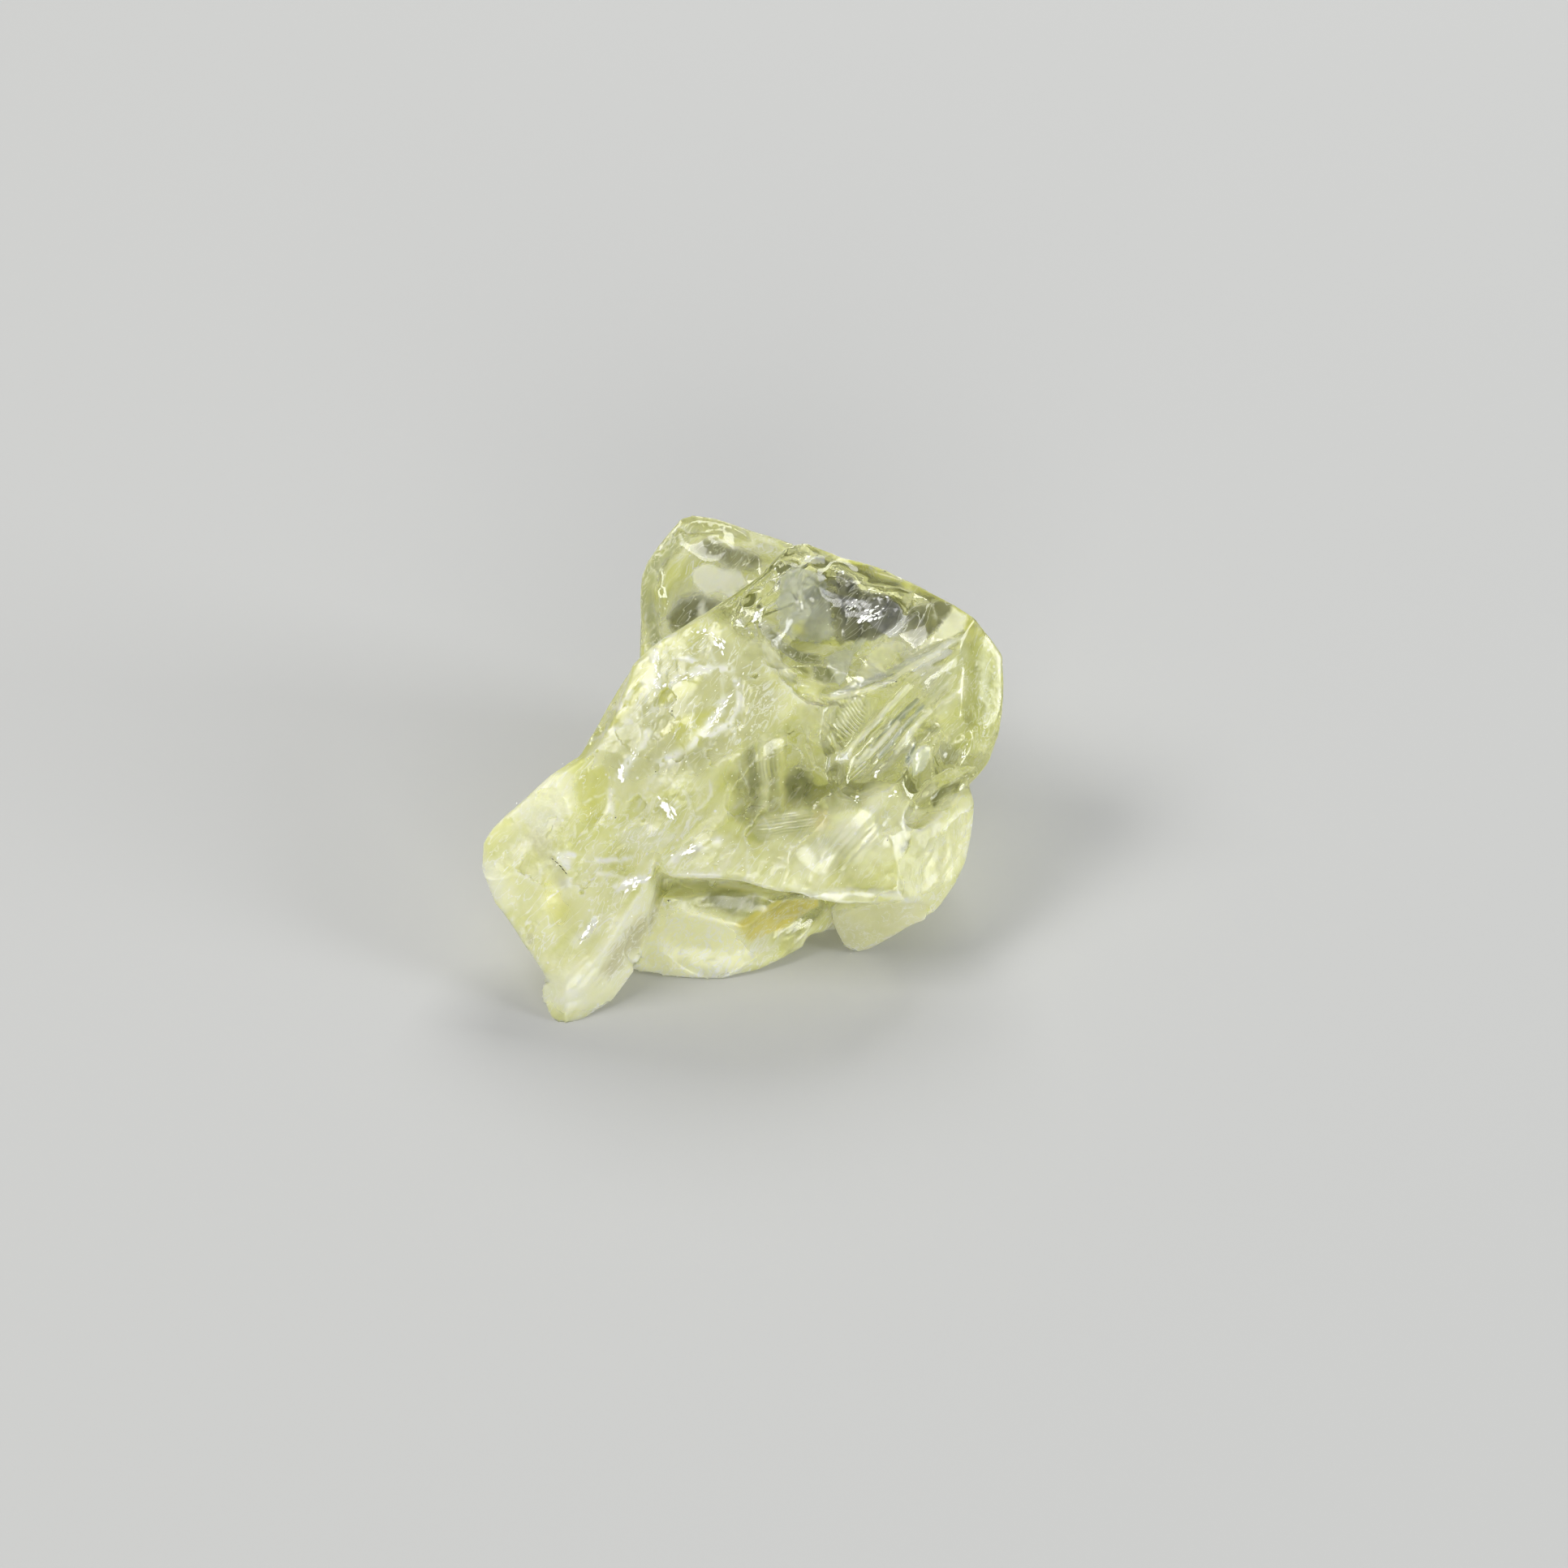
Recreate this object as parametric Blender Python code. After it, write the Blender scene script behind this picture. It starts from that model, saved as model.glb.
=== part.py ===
"""A rough piece of pale green quartz, broken on every side and lying on its flat base.

The stone is one solid. Its lumps are convex blocks fused together, and its hollows and scars are
shallow bowls cut out of them, the way quartz breaks in shells.

Its broad front face leans back by LEAN. The corners and scars in front are given on that face, in
millimetres: across it, up it from the foremost tip, and the depth behind it.
"""

import math

import bmesh
import bpy
from mathutils import Matrix, Vector, noise

MM = 0.001
LEAN = math.radians(40)
TIP = (-0.09, -16.1, 0)  # where the foremost tip's line lies when the origin is under the middle
FLOOR_CUT = 60  # side of the block that cuts the base flat
QUARTZ_COLOUR = (0.68, 0.68, 0.3, 1)
QUARTZ_IOR = 1.544
QUARTZ_ROUGHNESS = 0.25
FLARE = 1.0  # how far out of the face a scar's cutter keeps its round form
THROAT = 3.5  # and how far it runs straight on from there
SCAR_RINGS = 6
SCAR_SIDES = 22
SCAR_WAVES = 0.45  # how quickly a scar's bowl wanders from round
SCAR_SWAY = 0.09  # and how far, as a share of its width
NOISE_SEED = 7
SIDE_ON = 0.3  # a facing with less than this left of x is squared up by z instead

WING = [
    (-18.0, 12.4, 0.8), (-17.2, 13.4, 0.9), (-15.2, 15.2, 0.9), (-13.4, 16.8, 1.2), (-11.1, 18.4, 1.2),
    (-17.9, 10.6, 0.7), (-16.8, 8.1, 0.4), (-14.7, 5.6, 0.2), (-13.5, 3.4, 0.1), (-6.4, 9.6, -1.2),
    (-8.6, 6.4, -1.0), (-5.0, 14.0, -0.8), (-9.8, 4.0, -0.6), (-7.2, 3.6, 1.6), (-16.5, 11.5, 6.5),
    (-14.0, 15.5, 7.0), (-12.5, 4.6, 3.6), (-8.0, 14.0, 10.0), (-6.0, 6.0, 6.5),
]

FACE_LUMPS = {
    "toe": [
        (-13.6, 3.6, 0.2), (-13.7, 1.8, 0.3), (-12.9, 0.4, 0.3), (-12.0, -0.1, 0.2), (-11.2, 0.1, 0.4),
        (-10.0, 0.9, 0.8), (-8.9, 1.5, 1.2), (-7.3, 3.5, 1.6), (-9.2, 5.4, -0.8), (-11.8, 3.0, -0.6),
        (-12.8, 6.6, 0.2), (-12.0, 5.0, 3.0), (-8.0, 5.0, 4.0),
    ],
    "shoulder": [
        (-11.4, 17.6, 1.4), (-11.1, 18.6, 1.0), (-10.0, 20.3, 1.2), (-8.9, 21.9, 1.4), (-8.5, 23.2, 1.6),
        (-7.5, 24.4, 1.8), (-6.4, 25.5, 1.6), (-3.6, 27.0, 1.0), (-0.6, 28.5, 0.8), (2.0, 30.9, 1.6),
        (-4.0, 18.0, -1.5), (4.0, 22.0, -0.9), (-4.8, 10.0, -1.4), (0.0, 9.6, -1.6), (4.6, 14.0, -1.8),
        (-9.0, 21.0, 8.0), (-4.0, 25.4, 8.0), (4.0, 29.0, 8.0), (-12.0, 13.0, 8.0), (-6.0, 10.0, 7.0),
        (3.0, 10.0, 7.0),
    ],
    "body": [
        (1.2, 30.4, 1.7), (-1.6, 27.4, 1.6), (-1.6, 26.0, 7.0), (3.0, 32.3, 2.0), (4.2, 32.7, 2.2),
        (10.1, 30.6, 2.6), (14.5, 28.4, 3.0), (15.9, 27.5, 3.2), (16.8, 26.3, 3.4), (17.9, 25.6, 3.8),
        (18.2, 25.1, 4.2), (18.1, 22.7, 4.6), (17.7, 19.6, 4.8), (17.0, 17.9, 4.6), (15.9, 16.7, 4.0),
        (1.0, 24.0, -1.0), (9.0, 21.0, -0.6), (14.0, 20.0, 1.6), (5.0, 14.0, -2.0), (-1.0, 16.0, -1.5),
        (0.0, 9.6, -1.5), (4.1, 8.7, -1.7), (8.5, 9.4, -1.4), (13.4, 15.0, 1.8), (3.0, 31.0, 7.0),
        (10.0, 29.0, 9.0), (15.5, 25.0, 11.0), (14.0, 17.0, 12.0), (2.0, 12.0, 10.0),
    ],
    "apron": [
        (15.9, 15.3, 3.4), (15.8, 13.6, 3.2), (15.5, 11.9, 3.0), (15.2, 11.0, 2.8), (14.5, 9.5, 2.4),
        (13.5, 8.3, 2.0), (12.5, 7.2, 1.6), (4.1, 8.6, -1.6), (7.5, 8.4, -1.5), (10.7, 8.2, -0.6),
        (9.0, 12.6, -1.4), (12.4, 13.6, 0.8), (15.4, 16.2, 4.2), (13.0, 16.0, 10.0), (12.0, 9.5, 8.0),
        (4.0, 12.0, 8.0), (5.0, 9.5, 3.5),
    ],
    "belly": [
        (-8.0, 3.6, 3.8), (-5.0, 3.1, 3.6), (-2.0, 2.9, 3.3), (0.8, 3.4, 3.8), (2.6, 4.3, 4.2),
        (4.2, 5.2, 4.8), (-5.5, 8.6, 1.4), (-2.5, 8.8, 1.4), (0.5, 8.0, 1.8), (5.0, 8.8, 3.0),
        (6.4, 7.0, 5.4), (-7.0, 8.0, 9.0), (-2.0, 14.0, 16.5), (7.0, 12.0, 14.0), (2.0, 6.0, 7.0),
    ],
    "foot": [
        (7.8, 4.5, 5.6), (6.8, 5.1, 5.4), (9.3, 5.3, 5.6), (10.6, 6.1, 5.0), (12.4, 7.1, 2.2),
        (5.8, 7.8, 3.4), (7.0, 8.8, 2.0), (11.0, 8.8, 1.6), (13.0, 10.0, 6.0), (12.0, 12.0, 12.0),
        (8.0, 9.0, 9.6),
    ],
    "back": [
        (-7.1, 25.4, 9.0), (-6.7, 27.0, 9.4), (-7.1, 29.2, 9.6), (-7.1, 30.7, 9.6), (-6.7, 31.7, 9.4),
        (-5.9, 32.8, 9.2), (-4.4, 34.7, 9.0), (-3.6, 34.9, 9.0), (-2.0, 34.6, 9.2), (0.5, 33.7, 9.4),
        (3.4, 32.9, 9.6), (6.0, 30.6, 12.4), (4.0, 26.0, 17.0), (-3.0, 33.6, 13.6), (1.6, 32.8, 13.4),
        (-6.5, 29.0, 14.6), (-6.6, 24.0, 18.0), (2.0, 22.0, 20.0), (-7.6, 18.0, 12.0), (-2.0, 24.0, 7.0),
    ],
}

# the lumps behind the face, in the stone's own frame: right, back and up
REAR_LUMPS = {
    "heart": [
        (-9.0, 7.0, 1.6), (-7.0, 7.4, -1.0), (9.0, 10.0, -1.0), (12.6, 13.0, 1.4), (-11.0, 12.0, 2.6),
        (-9.0, 15.0, -1.0), (-12.4, 12.6, 8.0), (-11.0, 17.0, 8.4), (-8.6, 20.0, 12.6), (-7.6, 25.0, 5.0),
        (-6.0, 22.6, -1.0), (-2.0, 27.6, 5.0), (3.0, 25.4, -1.0), (9.0, 20.4, -1.0), (8.4, 26.4, 7.6),
        (10.6, 21.0, 1.6), (14.6, 20.6, 9.0), (14.0, 15.0, 5.6), (8.0, 25.4, 15.4), (0.0, 27.0, 17.4),
        (4.6, 26.0, 18.0), (-5.0, 24.0, 15.0), (4.0, 12.0, 10.0),
    ],
    "hip": [
        (-3.0, 24.0, 9.4), (-8.0, 22.6, 3.4), (-8.6, 20.0, 7.0), (-6.0, 27.0, 3.0), (-3.4, 28.6, 5.6),
        (2.0, 28.4, 4.0), (0.0, 26.0, 9.4), (-2.0, 22.0, 0.4), (-5.4, 24.6, 0.6), (1.6, 26.4, 0.8),
    ],
    "haunch": [
        (8.0, 18.0, 12.0), (13.6, 22.6, 8.4), (12.4, 24.6, 5.6), (8.6, 26.6, 4.6), (5.0, 24.0, 1.4),
        (12.0, 17.0, 1.0), (14.6, 17.6, 3.6), (9.0, 24.0, 10.4), (14.8, 19.0, 8.0),
    ],
}

# each scar's place, the way it faces, half length, half width, depth, and how far it is turned
FACE_SCARS = {
    "window": ((7.6, 26.9, 1.0), (0.05, 0.3, -1), 7.2, 4.3, 2.5, -4),
    "window_left": ((2.2, 27.6, 0.4), (-0.2, 0.2, -1), 3.4, 2.4, 1.0, 60),
    "window_low": ((5.4, 24.4, 0.0), (0, -0.1, -1), 3.4, 2.2, 1.3, -30),
    "fan": ((12.2, 22.2, 0.8), (0.3, -0.1, -1), 8.0, 2.9, 1.5, 41),
    "ripples": ((7.2, 20.6, -0.5), (0.3, 0, -1), 2.6, 1.8, 0.8, 62),
    "right_flank": ((16.4, 21.4, 3.2), (0.8, 0.1, -1), 5.6, 2.4, 0.5, 95),
    "right_pit": ((14.2, 18.6, 1.8), (0.5, 0, -1), 2.2, 1.5, 0.9, 60),
    "right_slot": ((12.2, 17.6, 0.8), (0.3, 0.2, -1), 2.2, 1.1, 0.6, 70),
    "crease": ((13.0, 15.4, 1.8), (0.3, 0, -1), 3.0, 1.1, 0.9, 36),
    "apron_right": ((14.4, 12.6, 1.8), (0.7, -0.1, -1), 3.4, 1.8, 0.5, 80),
    "apron": ((7.8, 12.0, -1.4), (0.1, -0.1, -1), 5.6, 3.0, 0.5, 40),
    "centre": ((2.2, 16.4, -1.8), (0, 0, -1), 4.4, 3.0, 0.6, 80),
    "leaf_top": ((-0.8, 25.2, -0.4), (0, 0.15, -1), 4.0, 2.4, 0.6, 24),
    "leaf_edge": ((-6.2, 22.8, -0.2), (-0.2, 0.1, -1), 5.2, 2.4, 0.6, 44),
    "leaf_high": ((-2.6, 20.0, -1.4), (0, 0, -1), 5.6, 2.1, 0.5, 48),
    "leaf_mid": ((-7.6, 17.8, -0.8), (0, 0, -1), 4.6, 2.5, 0.5, 52),
    "leaf_low": ((-4.0, 14.6, -1.3), (0, 0, -1), 5.2, 2.2, 0.5, 56),
    "leaf_wing": ((-9.0, 12.8, -0.9), (0, 0, -1), 4.4, 2.2, 0.5, 38),
    "wing": ((-12.6, 8.8, -0.5), (0, 0, -1), 5.6, 3.4, 0.5, 62),
    "wing_left": ((-15.6, 12.0, 0.6), (-0.2, 0.3, -1), 3.6, 2.2, 0.5, 40),
    "bruise": ((-12.2, 10.9, -0.3), (0, 0, -1), 1.3, 0.7, 0.4, -42),
    "under_ridge": ((-0.6, 8.0, 0.8), (0, -0.8, -1), 5.6, 2.0, 1.5, -5),
    "under_right": ((8.6, 7.6, 1.2), (0.1, -1, -1), 4.4, 1.6, 0.9, -8),
    "belly_right": ((3.0, 6.6, 3.2), (0.3, -0.5, -1), 3.8, 1.9, 0.9, 24),
    "belly": ((-2.2, 5.4, 2.8), (0, -0.4, -1), 3.4, 1.8, 0.4, -6),
    "foot_notch": ((5.2, 5.4, 5.0), (0, -1, 0), 3.4, 1.1, 0.8, 90),
    "shoulder_edge": ((-9.4, 21.4, 2.0), (-1, 0.6, -0.5), 4.4, 2.2, 0.6, 60),
    "back_front": ((-2.8, 30.2, 9.1), (0, 0.1, -1), 4.2, 3.0, 0.8, 50),
    "back_left": ((-7.0, 28.4, 12.4), (-1, 0, 0.1), 4.0, 2.4, 0.5, 90),
    "top": ((8.6, 31.0, 5.6), (0.3, 1, 0), 6.4, 2.8, 0.8, -20),
}

REAR_SCARS = {
    "rear_high": ((9.6, 26.4, 13.6), (0.5, 1, 0.4), 5.4, 4.0, 1.2, 10),
    "rear_low": ((-2.4, 29.4, 7.4), (-0.2, 1, -0.1), 4.6, 3.2, 0.8, 30),
    "rear_right": ((11.6, 25.0, 7.0), (0.7, 1, 0), 4.4, 3.4, 1.0, -30),
    "back_lobe": ((0.6, 31.2, 12.0), (0, 1, -0.2), 5.0, 3.4, 0.9, 20),
    "left_hollow": ((-10.2, 17.6, 7.0), (-1, 0.6, 0), 5.4, 4.0, 1.3, 60),
    "left_low": ((-10.2, 12.6, 2.6), (-1, -0.2, -0.5), 4.4, 2.8, 0.7, 10),
    "wing_back": ((-14.8, 14.0, 7.4), (-0.5, 1, -0.3), 4.6, 2.8, 0.6, -30),
    "wing_under": ((-13.4, 8.6, 3.4), (-0.6, 0.4, -1), 4.6, 3.0, 0.6, 50),
    "right_big": ((15.2, 20.8, 7.4), (1, 0.4, -0.2), 4.8, 3.2, 0.9, 60),
    "right_low": ((14.0, 15.6, 3.6), (1, 0, -0.6), 4.2, 2.6, 0.7, -20),
    "foot_back": ((12.0, 10.4, 1.6), (1, -0.2, -0.8), 3.6, 2.0, 0.7, 20),
}


def on_face(across, up, deep):
    """Where a point of the front face's own measures lies in the stone's frame."""
    y = up * math.sin(LEAN) + deep * math.cos(LEAN)
    z = up * math.cos(LEAN) - deep * math.sin(LEAN)
    return Vector((across, y, z)) * MM


def upright(right, back, up):
    """Where a point given right, back and up lies in the stone's frame."""
    return Vector((right, back, up)) * MM


def add_object(name, bm, helper=True):
    """An object of this mesh, which helpers only cut or join, so they show as wires."""
    mesh = bpy.data.meshes.new(name)
    bm.to_mesh(mesh)
    bm.free()
    obj = bpy.data.objects.new(name, mesh)
    obj.location = upright(*TIP)
    bpy.context.scene.collection.objects.link(obj)
    if helper:
        obj.hide_render = True
        obj.display_type = "WIRE"
    return obj


def lump(name, corners, frame, helper=True):
    """The convex block round these corners."""
    bm = bmesh.new()
    for corner in corners:
        bm.verts.new(frame(*corner))
    found = bmesh.ops.convex_hull(bm, input=bm.verts)
    inner = {v for v in found["geom_interior"] if isinstance(v, bmesh.types.BMVert)}
    bmesh.ops.delete(bm, geom=list(inner), context="VERTS")
    bmesh.ops.recalc_face_normals(bm, faces=bm.faces)
    return add_object(name, bm, helper)


def scar(name, frame, place, facing, length, width, depth, turn):
    """A cutter for one shell-shaped scar: a shallow round bowl under a short straight throat."""
    radius = (width * width + depth * depth) / (2 * depth)
    rim = math.acos(max(0, (radius - depth - FLARE) / radius))
    bm = bmesh.new()
    rings = [bm.verts.new((0, 0, -radius))]
    for step in range(1, SCAR_RINGS + 1):
        angle = rim * step / SCAR_RINGS
        rings.append(bm.verts.new((radius * math.sin(angle), 0, -radius * math.cos(angle))))
    rings.append(bm.verts.new((rings[-1].co.x, 0, THROAT + depth - radius)))
    rings.append(bm.verts.new((0, 0, rings[-1].co.z)))
    profile = [bm.edges.new(pair) for pair in zip(rings, rings[1:])]
    turned = {"axis": (0, 0, 1), "steps": SCAR_SIDES, "angle": math.tau, "use_merge": True}
    bmesh.ops.spin(bm, geom=rings + profile, **turned)
    bmesh.ops.remove_doubles(bm, verts=bm.verts, dist=1e-5)
    bmesh.ops.recalc_face_normals(bm, faces=bm.faces)
    for vert in bm.verts:
        vert.co += noise.noise_vector(vert.co * SCAR_WAVES + Vector(place)) * SCAR_SWAY * width
    outward = frame(*facing).normalized()
    sideways = Vector((1, 0, 0)) - outward * outward.x
    if sideways.length < SIDE_ON:
        sideways = Vector((0, 0, 1)) - outward * outward.z
    sideways.normalize()
    axes = Matrix((sideways, outward.cross(sideways), outward)).transposed().to_4x4()
    spin = Matrix.Rotation(math.radians(turn), 4, "Z")
    size = Matrix.Diagonal((length / width * MM, MM, MM, 1)) @ Matrix.Translation((0, 0, radius - depth))
    bm.transform(Matrix.Translation(frame(*place)) @ axes @ spin @ size)
    return add_object(name, bm)


def combine(obj, other, operation):
    """Join the other object to this one, or cut it out of it."""
    modifier = obj.modifiers.new(other.name, "BOOLEAN")
    modifier.operation = operation
    modifier.object = other


def quartz():
    """The stone's one material."""
    material = bpy.data.materials.new("quartz")
    material.use_nodes = True
    shader = material.node_tree.nodes["Principled BSDF"]
    shader.inputs["Base Color"].default_value = QUARTZ_COLOUR
    shader.inputs["Roughness"].default_value = QUARTZ_ROUGHNESS
    shader.inputs["Metallic"].default_value = 0
    shader.inputs["IOR"].default_value = QUARTZ_IOR
    return material


def floor_block():
    """What lies under the stone's flat base."""
    bm = bmesh.new()
    bmesh.ops.create_cube(bm, size=FLOOR_CUT * MM)
    bmesh.ops.translate(bm, verts=bm.verts, vec=upright(0, FLOOR_CUT / 4, -FLOOR_CUT / 2))
    return add_object("floor_block", bm)


def main():
    for obj in list(bpy.data.objects):
        bpy.data.objects.remove(obj)
    noise.seed_set(NOISE_SEED)
    stone = lump("stone", WING, on_face, helper=False)
    for lumps, frame in ((FACE_LUMPS, on_face), (REAR_LUMPS, upright)):
        for name, corners in lumps.items():
            combine(stone, lump(name, corners, frame), "UNION")
    for scars, frame in ((FACE_SCARS, on_face), (REAR_SCARS, upright)):
        for name, measures in scars.items():
            combine(stone, scar(name + "_scar", frame, *measures), "DIFFERENCE")
    combine(stone, floor_block(), "DIFFERENCE")
    stone.data.materials.append(quartz())


main()
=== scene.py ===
import math
import bmesh
import bpy
import numpy as np
from mathutils import Matrix, Vector


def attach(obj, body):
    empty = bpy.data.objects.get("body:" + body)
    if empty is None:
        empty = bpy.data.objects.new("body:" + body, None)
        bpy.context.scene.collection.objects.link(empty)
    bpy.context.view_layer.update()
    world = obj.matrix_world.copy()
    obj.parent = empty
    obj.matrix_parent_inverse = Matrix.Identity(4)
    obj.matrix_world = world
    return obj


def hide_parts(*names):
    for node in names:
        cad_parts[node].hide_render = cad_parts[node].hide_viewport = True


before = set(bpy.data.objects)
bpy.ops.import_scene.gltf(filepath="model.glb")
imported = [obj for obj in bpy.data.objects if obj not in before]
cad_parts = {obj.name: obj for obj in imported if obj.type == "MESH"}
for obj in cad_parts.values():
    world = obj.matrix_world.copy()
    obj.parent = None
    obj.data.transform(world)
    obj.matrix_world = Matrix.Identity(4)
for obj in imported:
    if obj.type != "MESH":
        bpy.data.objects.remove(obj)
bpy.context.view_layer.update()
mm = 0.001
lean = math.radians(40)  # how far the stone's broad front face leans back
tip = np.array((-0.09, -16.1, 0))  # the foremost tip's line, where the face's own measures start


def onFace(across, up, deep):  # millimetres on the leaning face, to millimetres from the tip
    y = up * math.sin(lean) + deep * math.cos(lean)
    z = up * math.cos(lean) - deep * math.sin(lean)
    return np.array((across, y, z))


def faceMeasures(points):  # the other way round
    across = points[:, 0]
    up = points[:, 1] * math.sin(lean) + points[:, 2] * math.cos(lean)
    deep = points[:, 1] * math.cos(lean) - points[:, 2] * math.sin(lean)
    return across, up, deep


outOfFace = onFace(0, 0, -1)  # the way that the broad front face looks


def newPiece(name, bm):
    mesh = bpy.data.meshes.new(name)
    bm.to_mesh(mesh)
    bm.free()
    piece = bpy.data.objects.new(name, mesh)
    bpy.context.scene.collection.objects.link(piece)
    return piece


def stand(name, data, place, aim):  # puts a lamp or the camera there, looking that way
    holder = bpy.data.objects.new(name, data)
    holder.location = place
    holder.rotation_euler = aim.to_track_quat("-Z", "Y").to_euler()
    bpy.context.scene.collection.objects.link(holder)
    return holder


def plainMaterial(name, colour, roughness):
    material = bpy.data.materials.new(name)
    material.use_nodes = True
    shader = material.node_tree.nodes["Principled BSDF"]
    shader.inputs["Base Color"].default_value = (*colour, 1)
    shader.inputs["Roughness"].default_value = roughness
    return material


view = {"elevation": 40, "lens": 120, "sensor": 36, "nearest": 0.01, "mmPerPixel": 0.055, "framePixels": 1932,
        "across": 2.75, "up": 16.28, "deep": 1.5, "facePixel": (916, 1262)}  # the face's zero, in pixels


def makeCamera():
    target = Vector((onFace(view["across"], view["up"], view["deep"]) + tip) * mm)
    tilt = math.radians(view["elevation"])
    back = Vector((0, -math.cos(tilt), math.sin(tilt)))
    width = view["mmPerPixel"] * view["framePixels"] * mm
    camera = bpy.data.cameras.new("camera")
    camera.lens = view["lens"]
    camera.sensor_width = view["sensor"]
    camera.clip_start = view["nearest"]
    place = target + back * width * view["lens"] / view["sensor"]
    bpy.context.scene.camera = stand("camera", camera, place, -back)


studio = {"sky": (0.2, 0.21, 0.22), "floor": (0.44, 0.44, 0.43), "floorRough": 0.8, "floorSize": 1.6,
          "lookAt": (0, 0, 0.01)}
softboxes = {  # place, size in metres, watts, colour
    "key": ((-0.32, -0.06, 0.42), (0.26, 0.2), 1.7, (1, 0.99, 0.97)),
    "back": ((0.08, 0.42, 0.34), (0.3, 0.16), 1.8, (1, 1, 1)),
    "right": ((0.45, -0.12, 0.2), (0.16, 0.22), 1.2, (0.96, 0.98, 1)),
    "front": ((0.06, -0.55, 0.2), (0.4, 0.2), 2.0, (1, 1, 1)),
}


def makeStudio():
    world = bpy.data.worlds.new("room")
    world.use_nodes = True
    world.node_tree.nodes["Background"].inputs["Color"].default_value = (*studio["sky"], 1)
    bpy.context.scene.world = world
    for name, (place, size, watts, colour) in softboxes.items():
        lamp = bpy.data.lights.new(name, "AREA")
        lamp.shape = "RECTANGLE"
        lamp.size, lamp.size_y = size
        lamp.energy = watts
        lamp.color = colour
        stand(name, lamp, place, Vector(studio["lookAt"]) - Vector(place))
    bm = bmesh.new()
    bmesh.ops.create_grid(bm, x_segments=1, y_segments=1, size=studio["floorSize"] / 2)
    floor = newPiece("floor", bm)
    floor.data.materials.append(plainMaterial("paleFloor", studio["floor"], studio["floorRough"]))


makeCamera()
makeStudio()
print("camera, lights and floor")


def lattice(cell, seed):  # a fixed random value from -1 to 1 for each cell, by mixing its whole numbers
    i, j, k = cell.T
    n = (i * 73856093) ^ (j * 19349663) ^ (k * 83492791) ^ (seed * 2654435)
    n = (n ^ (n >> 13)) & 0xFFFFFF
    n = (n * (n * 15731 + 789221) + 1376312589) & 0x7FFFFFFF
    return n / 0x3FFFFFFF - 1


def cloud(points, size, seed):  # smooth noise from -1 to 1, in lumps of this size
    grid = points / size + seed * 17.31
    cell = np.floor(grid).astype(np.int64)
    t = grid - cell
    t = t * t * (3 - 2 * t)
    total = np.zeros(len(points))
    for corner in range(8):
        step = np.array((corner & 1, corner >> 1 & 1, corner >> 2 & 1))
        total += np.where(step, t, 1 - t).prod(axis=1) * lattice(cell + step, seed)
    return total


def clouds(points, *layers):  # layers of noise, each with its height, lump size and seed
    return sum(height * cloud(points, size, seed) for height, size, seed in layers)


def softly(value, low, high):  # 0 below low, 1 above high, smooth between
    t = np.clip((value - low) / (high - low), 0, 1)
    return t * t * (3 - 2 * t)


def turned(a, u, place, turn):  # measures along and beside a line through the place, in degrees from across
    c, s = math.cos(math.radians(turn)), math.sin(math.radians(turn))
    x, y = place
    return (a - x) * c + (u - y) * s, (u - y) * c - (a - x) * s


def axesOf(facing, turn):  # length, width and outward directions, as columns
    outward = facing / np.linalg.norm(facing)
    sideways = np.array((1, 0, 0)) - outward * outward[0]
    if np.linalg.norm(sideways) < 0.3:
        sideways = np.array((0, 0, 1)) - outward * outward[2]
    sideways /= np.linalg.norm(sideways)
    other = np.cross(outward, sideways)
    c, s = math.cos(math.radians(turn)), math.sin(math.radians(turn))
    return np.stack([sideways * c + other * s, other * c - sideways * s, outward], axis=1)


def newIndex(points):  # the points in order along x, so that those near a place are found quickly
    order = np.argsort(points[:, 0])
    return order, points[order, 0]


def nearby(points, index, place, radius):
    order, sortedX = index
    first, last = np.searchsorted(sortedX, (place[0] - radius, place[0] + radius))
    found = order[first:last]
    return found[((points[found] - place) ** 2).sum(axis=1) < radius * radius]


skin = {"voxel": 0.125, "smoothing": 3, "lastSmoothing": 6, "soothing": 60, "triangles": 192000,
        "sharpAngle": 38, "proud": (0.01, 0.06),  # how far out an edge starts to be, and is all, worn white
        "swell": ((0.14, 3.4, 21), (0.06, 1.5, 22)),  # layers of lumps: height, size, seed
        "sugar": ((0.014, 0.5, 41), (0.014, 0.27, 42)),
        "wax": ((0.04, 2.4, 0.8, 43), (0.02, 1.0, 0.4, 44))}  # height, length and width along the grain, seed


def makeSkin():
    bm = bmesh.new()
    bm.from_mesh(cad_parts["stone"].data)
    bmesh.ops.remove_doubles(bm, verts=bm.verts, dist=1e-6)
    stone = newPiece("quartzStone", bm)
    remesh = stone.modifiers.new("skin", "REMESH")
    remesh.mode = "VOXEL"
    remesh.voxel_size = skin["voxel"] * mm
    bakeModifiers(stone)
    return stone


def bakeModifiers(piece):
    graph = bpy.context.evaluated_depsgraph_get()
    mesh = bpy.data.meshes.new_from_object(piece.evaluated_get(graph))
    piece.modifiers.clear()
    old = piece.data
    piece.data = mesh
    bpy.data.meshes.remove(old)


def readVectors(items, key):
    values = np.empty(len(items) * 3)
    items.foreach_get(key, values)
    return values.reshape(-1, 3)


def readPoints(mesh):  # in millimetres from the tip
    return readVectors(mesh.vertices, "co") / mm - tip


def writePoints(mesh, points):
    mesh.vertices.foreach_set("co", ((points + tip) * mm).ravel())
    mesh.update()


def readNormals(mesh):
    return readVectors(mesh.vertices, "normal")


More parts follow.
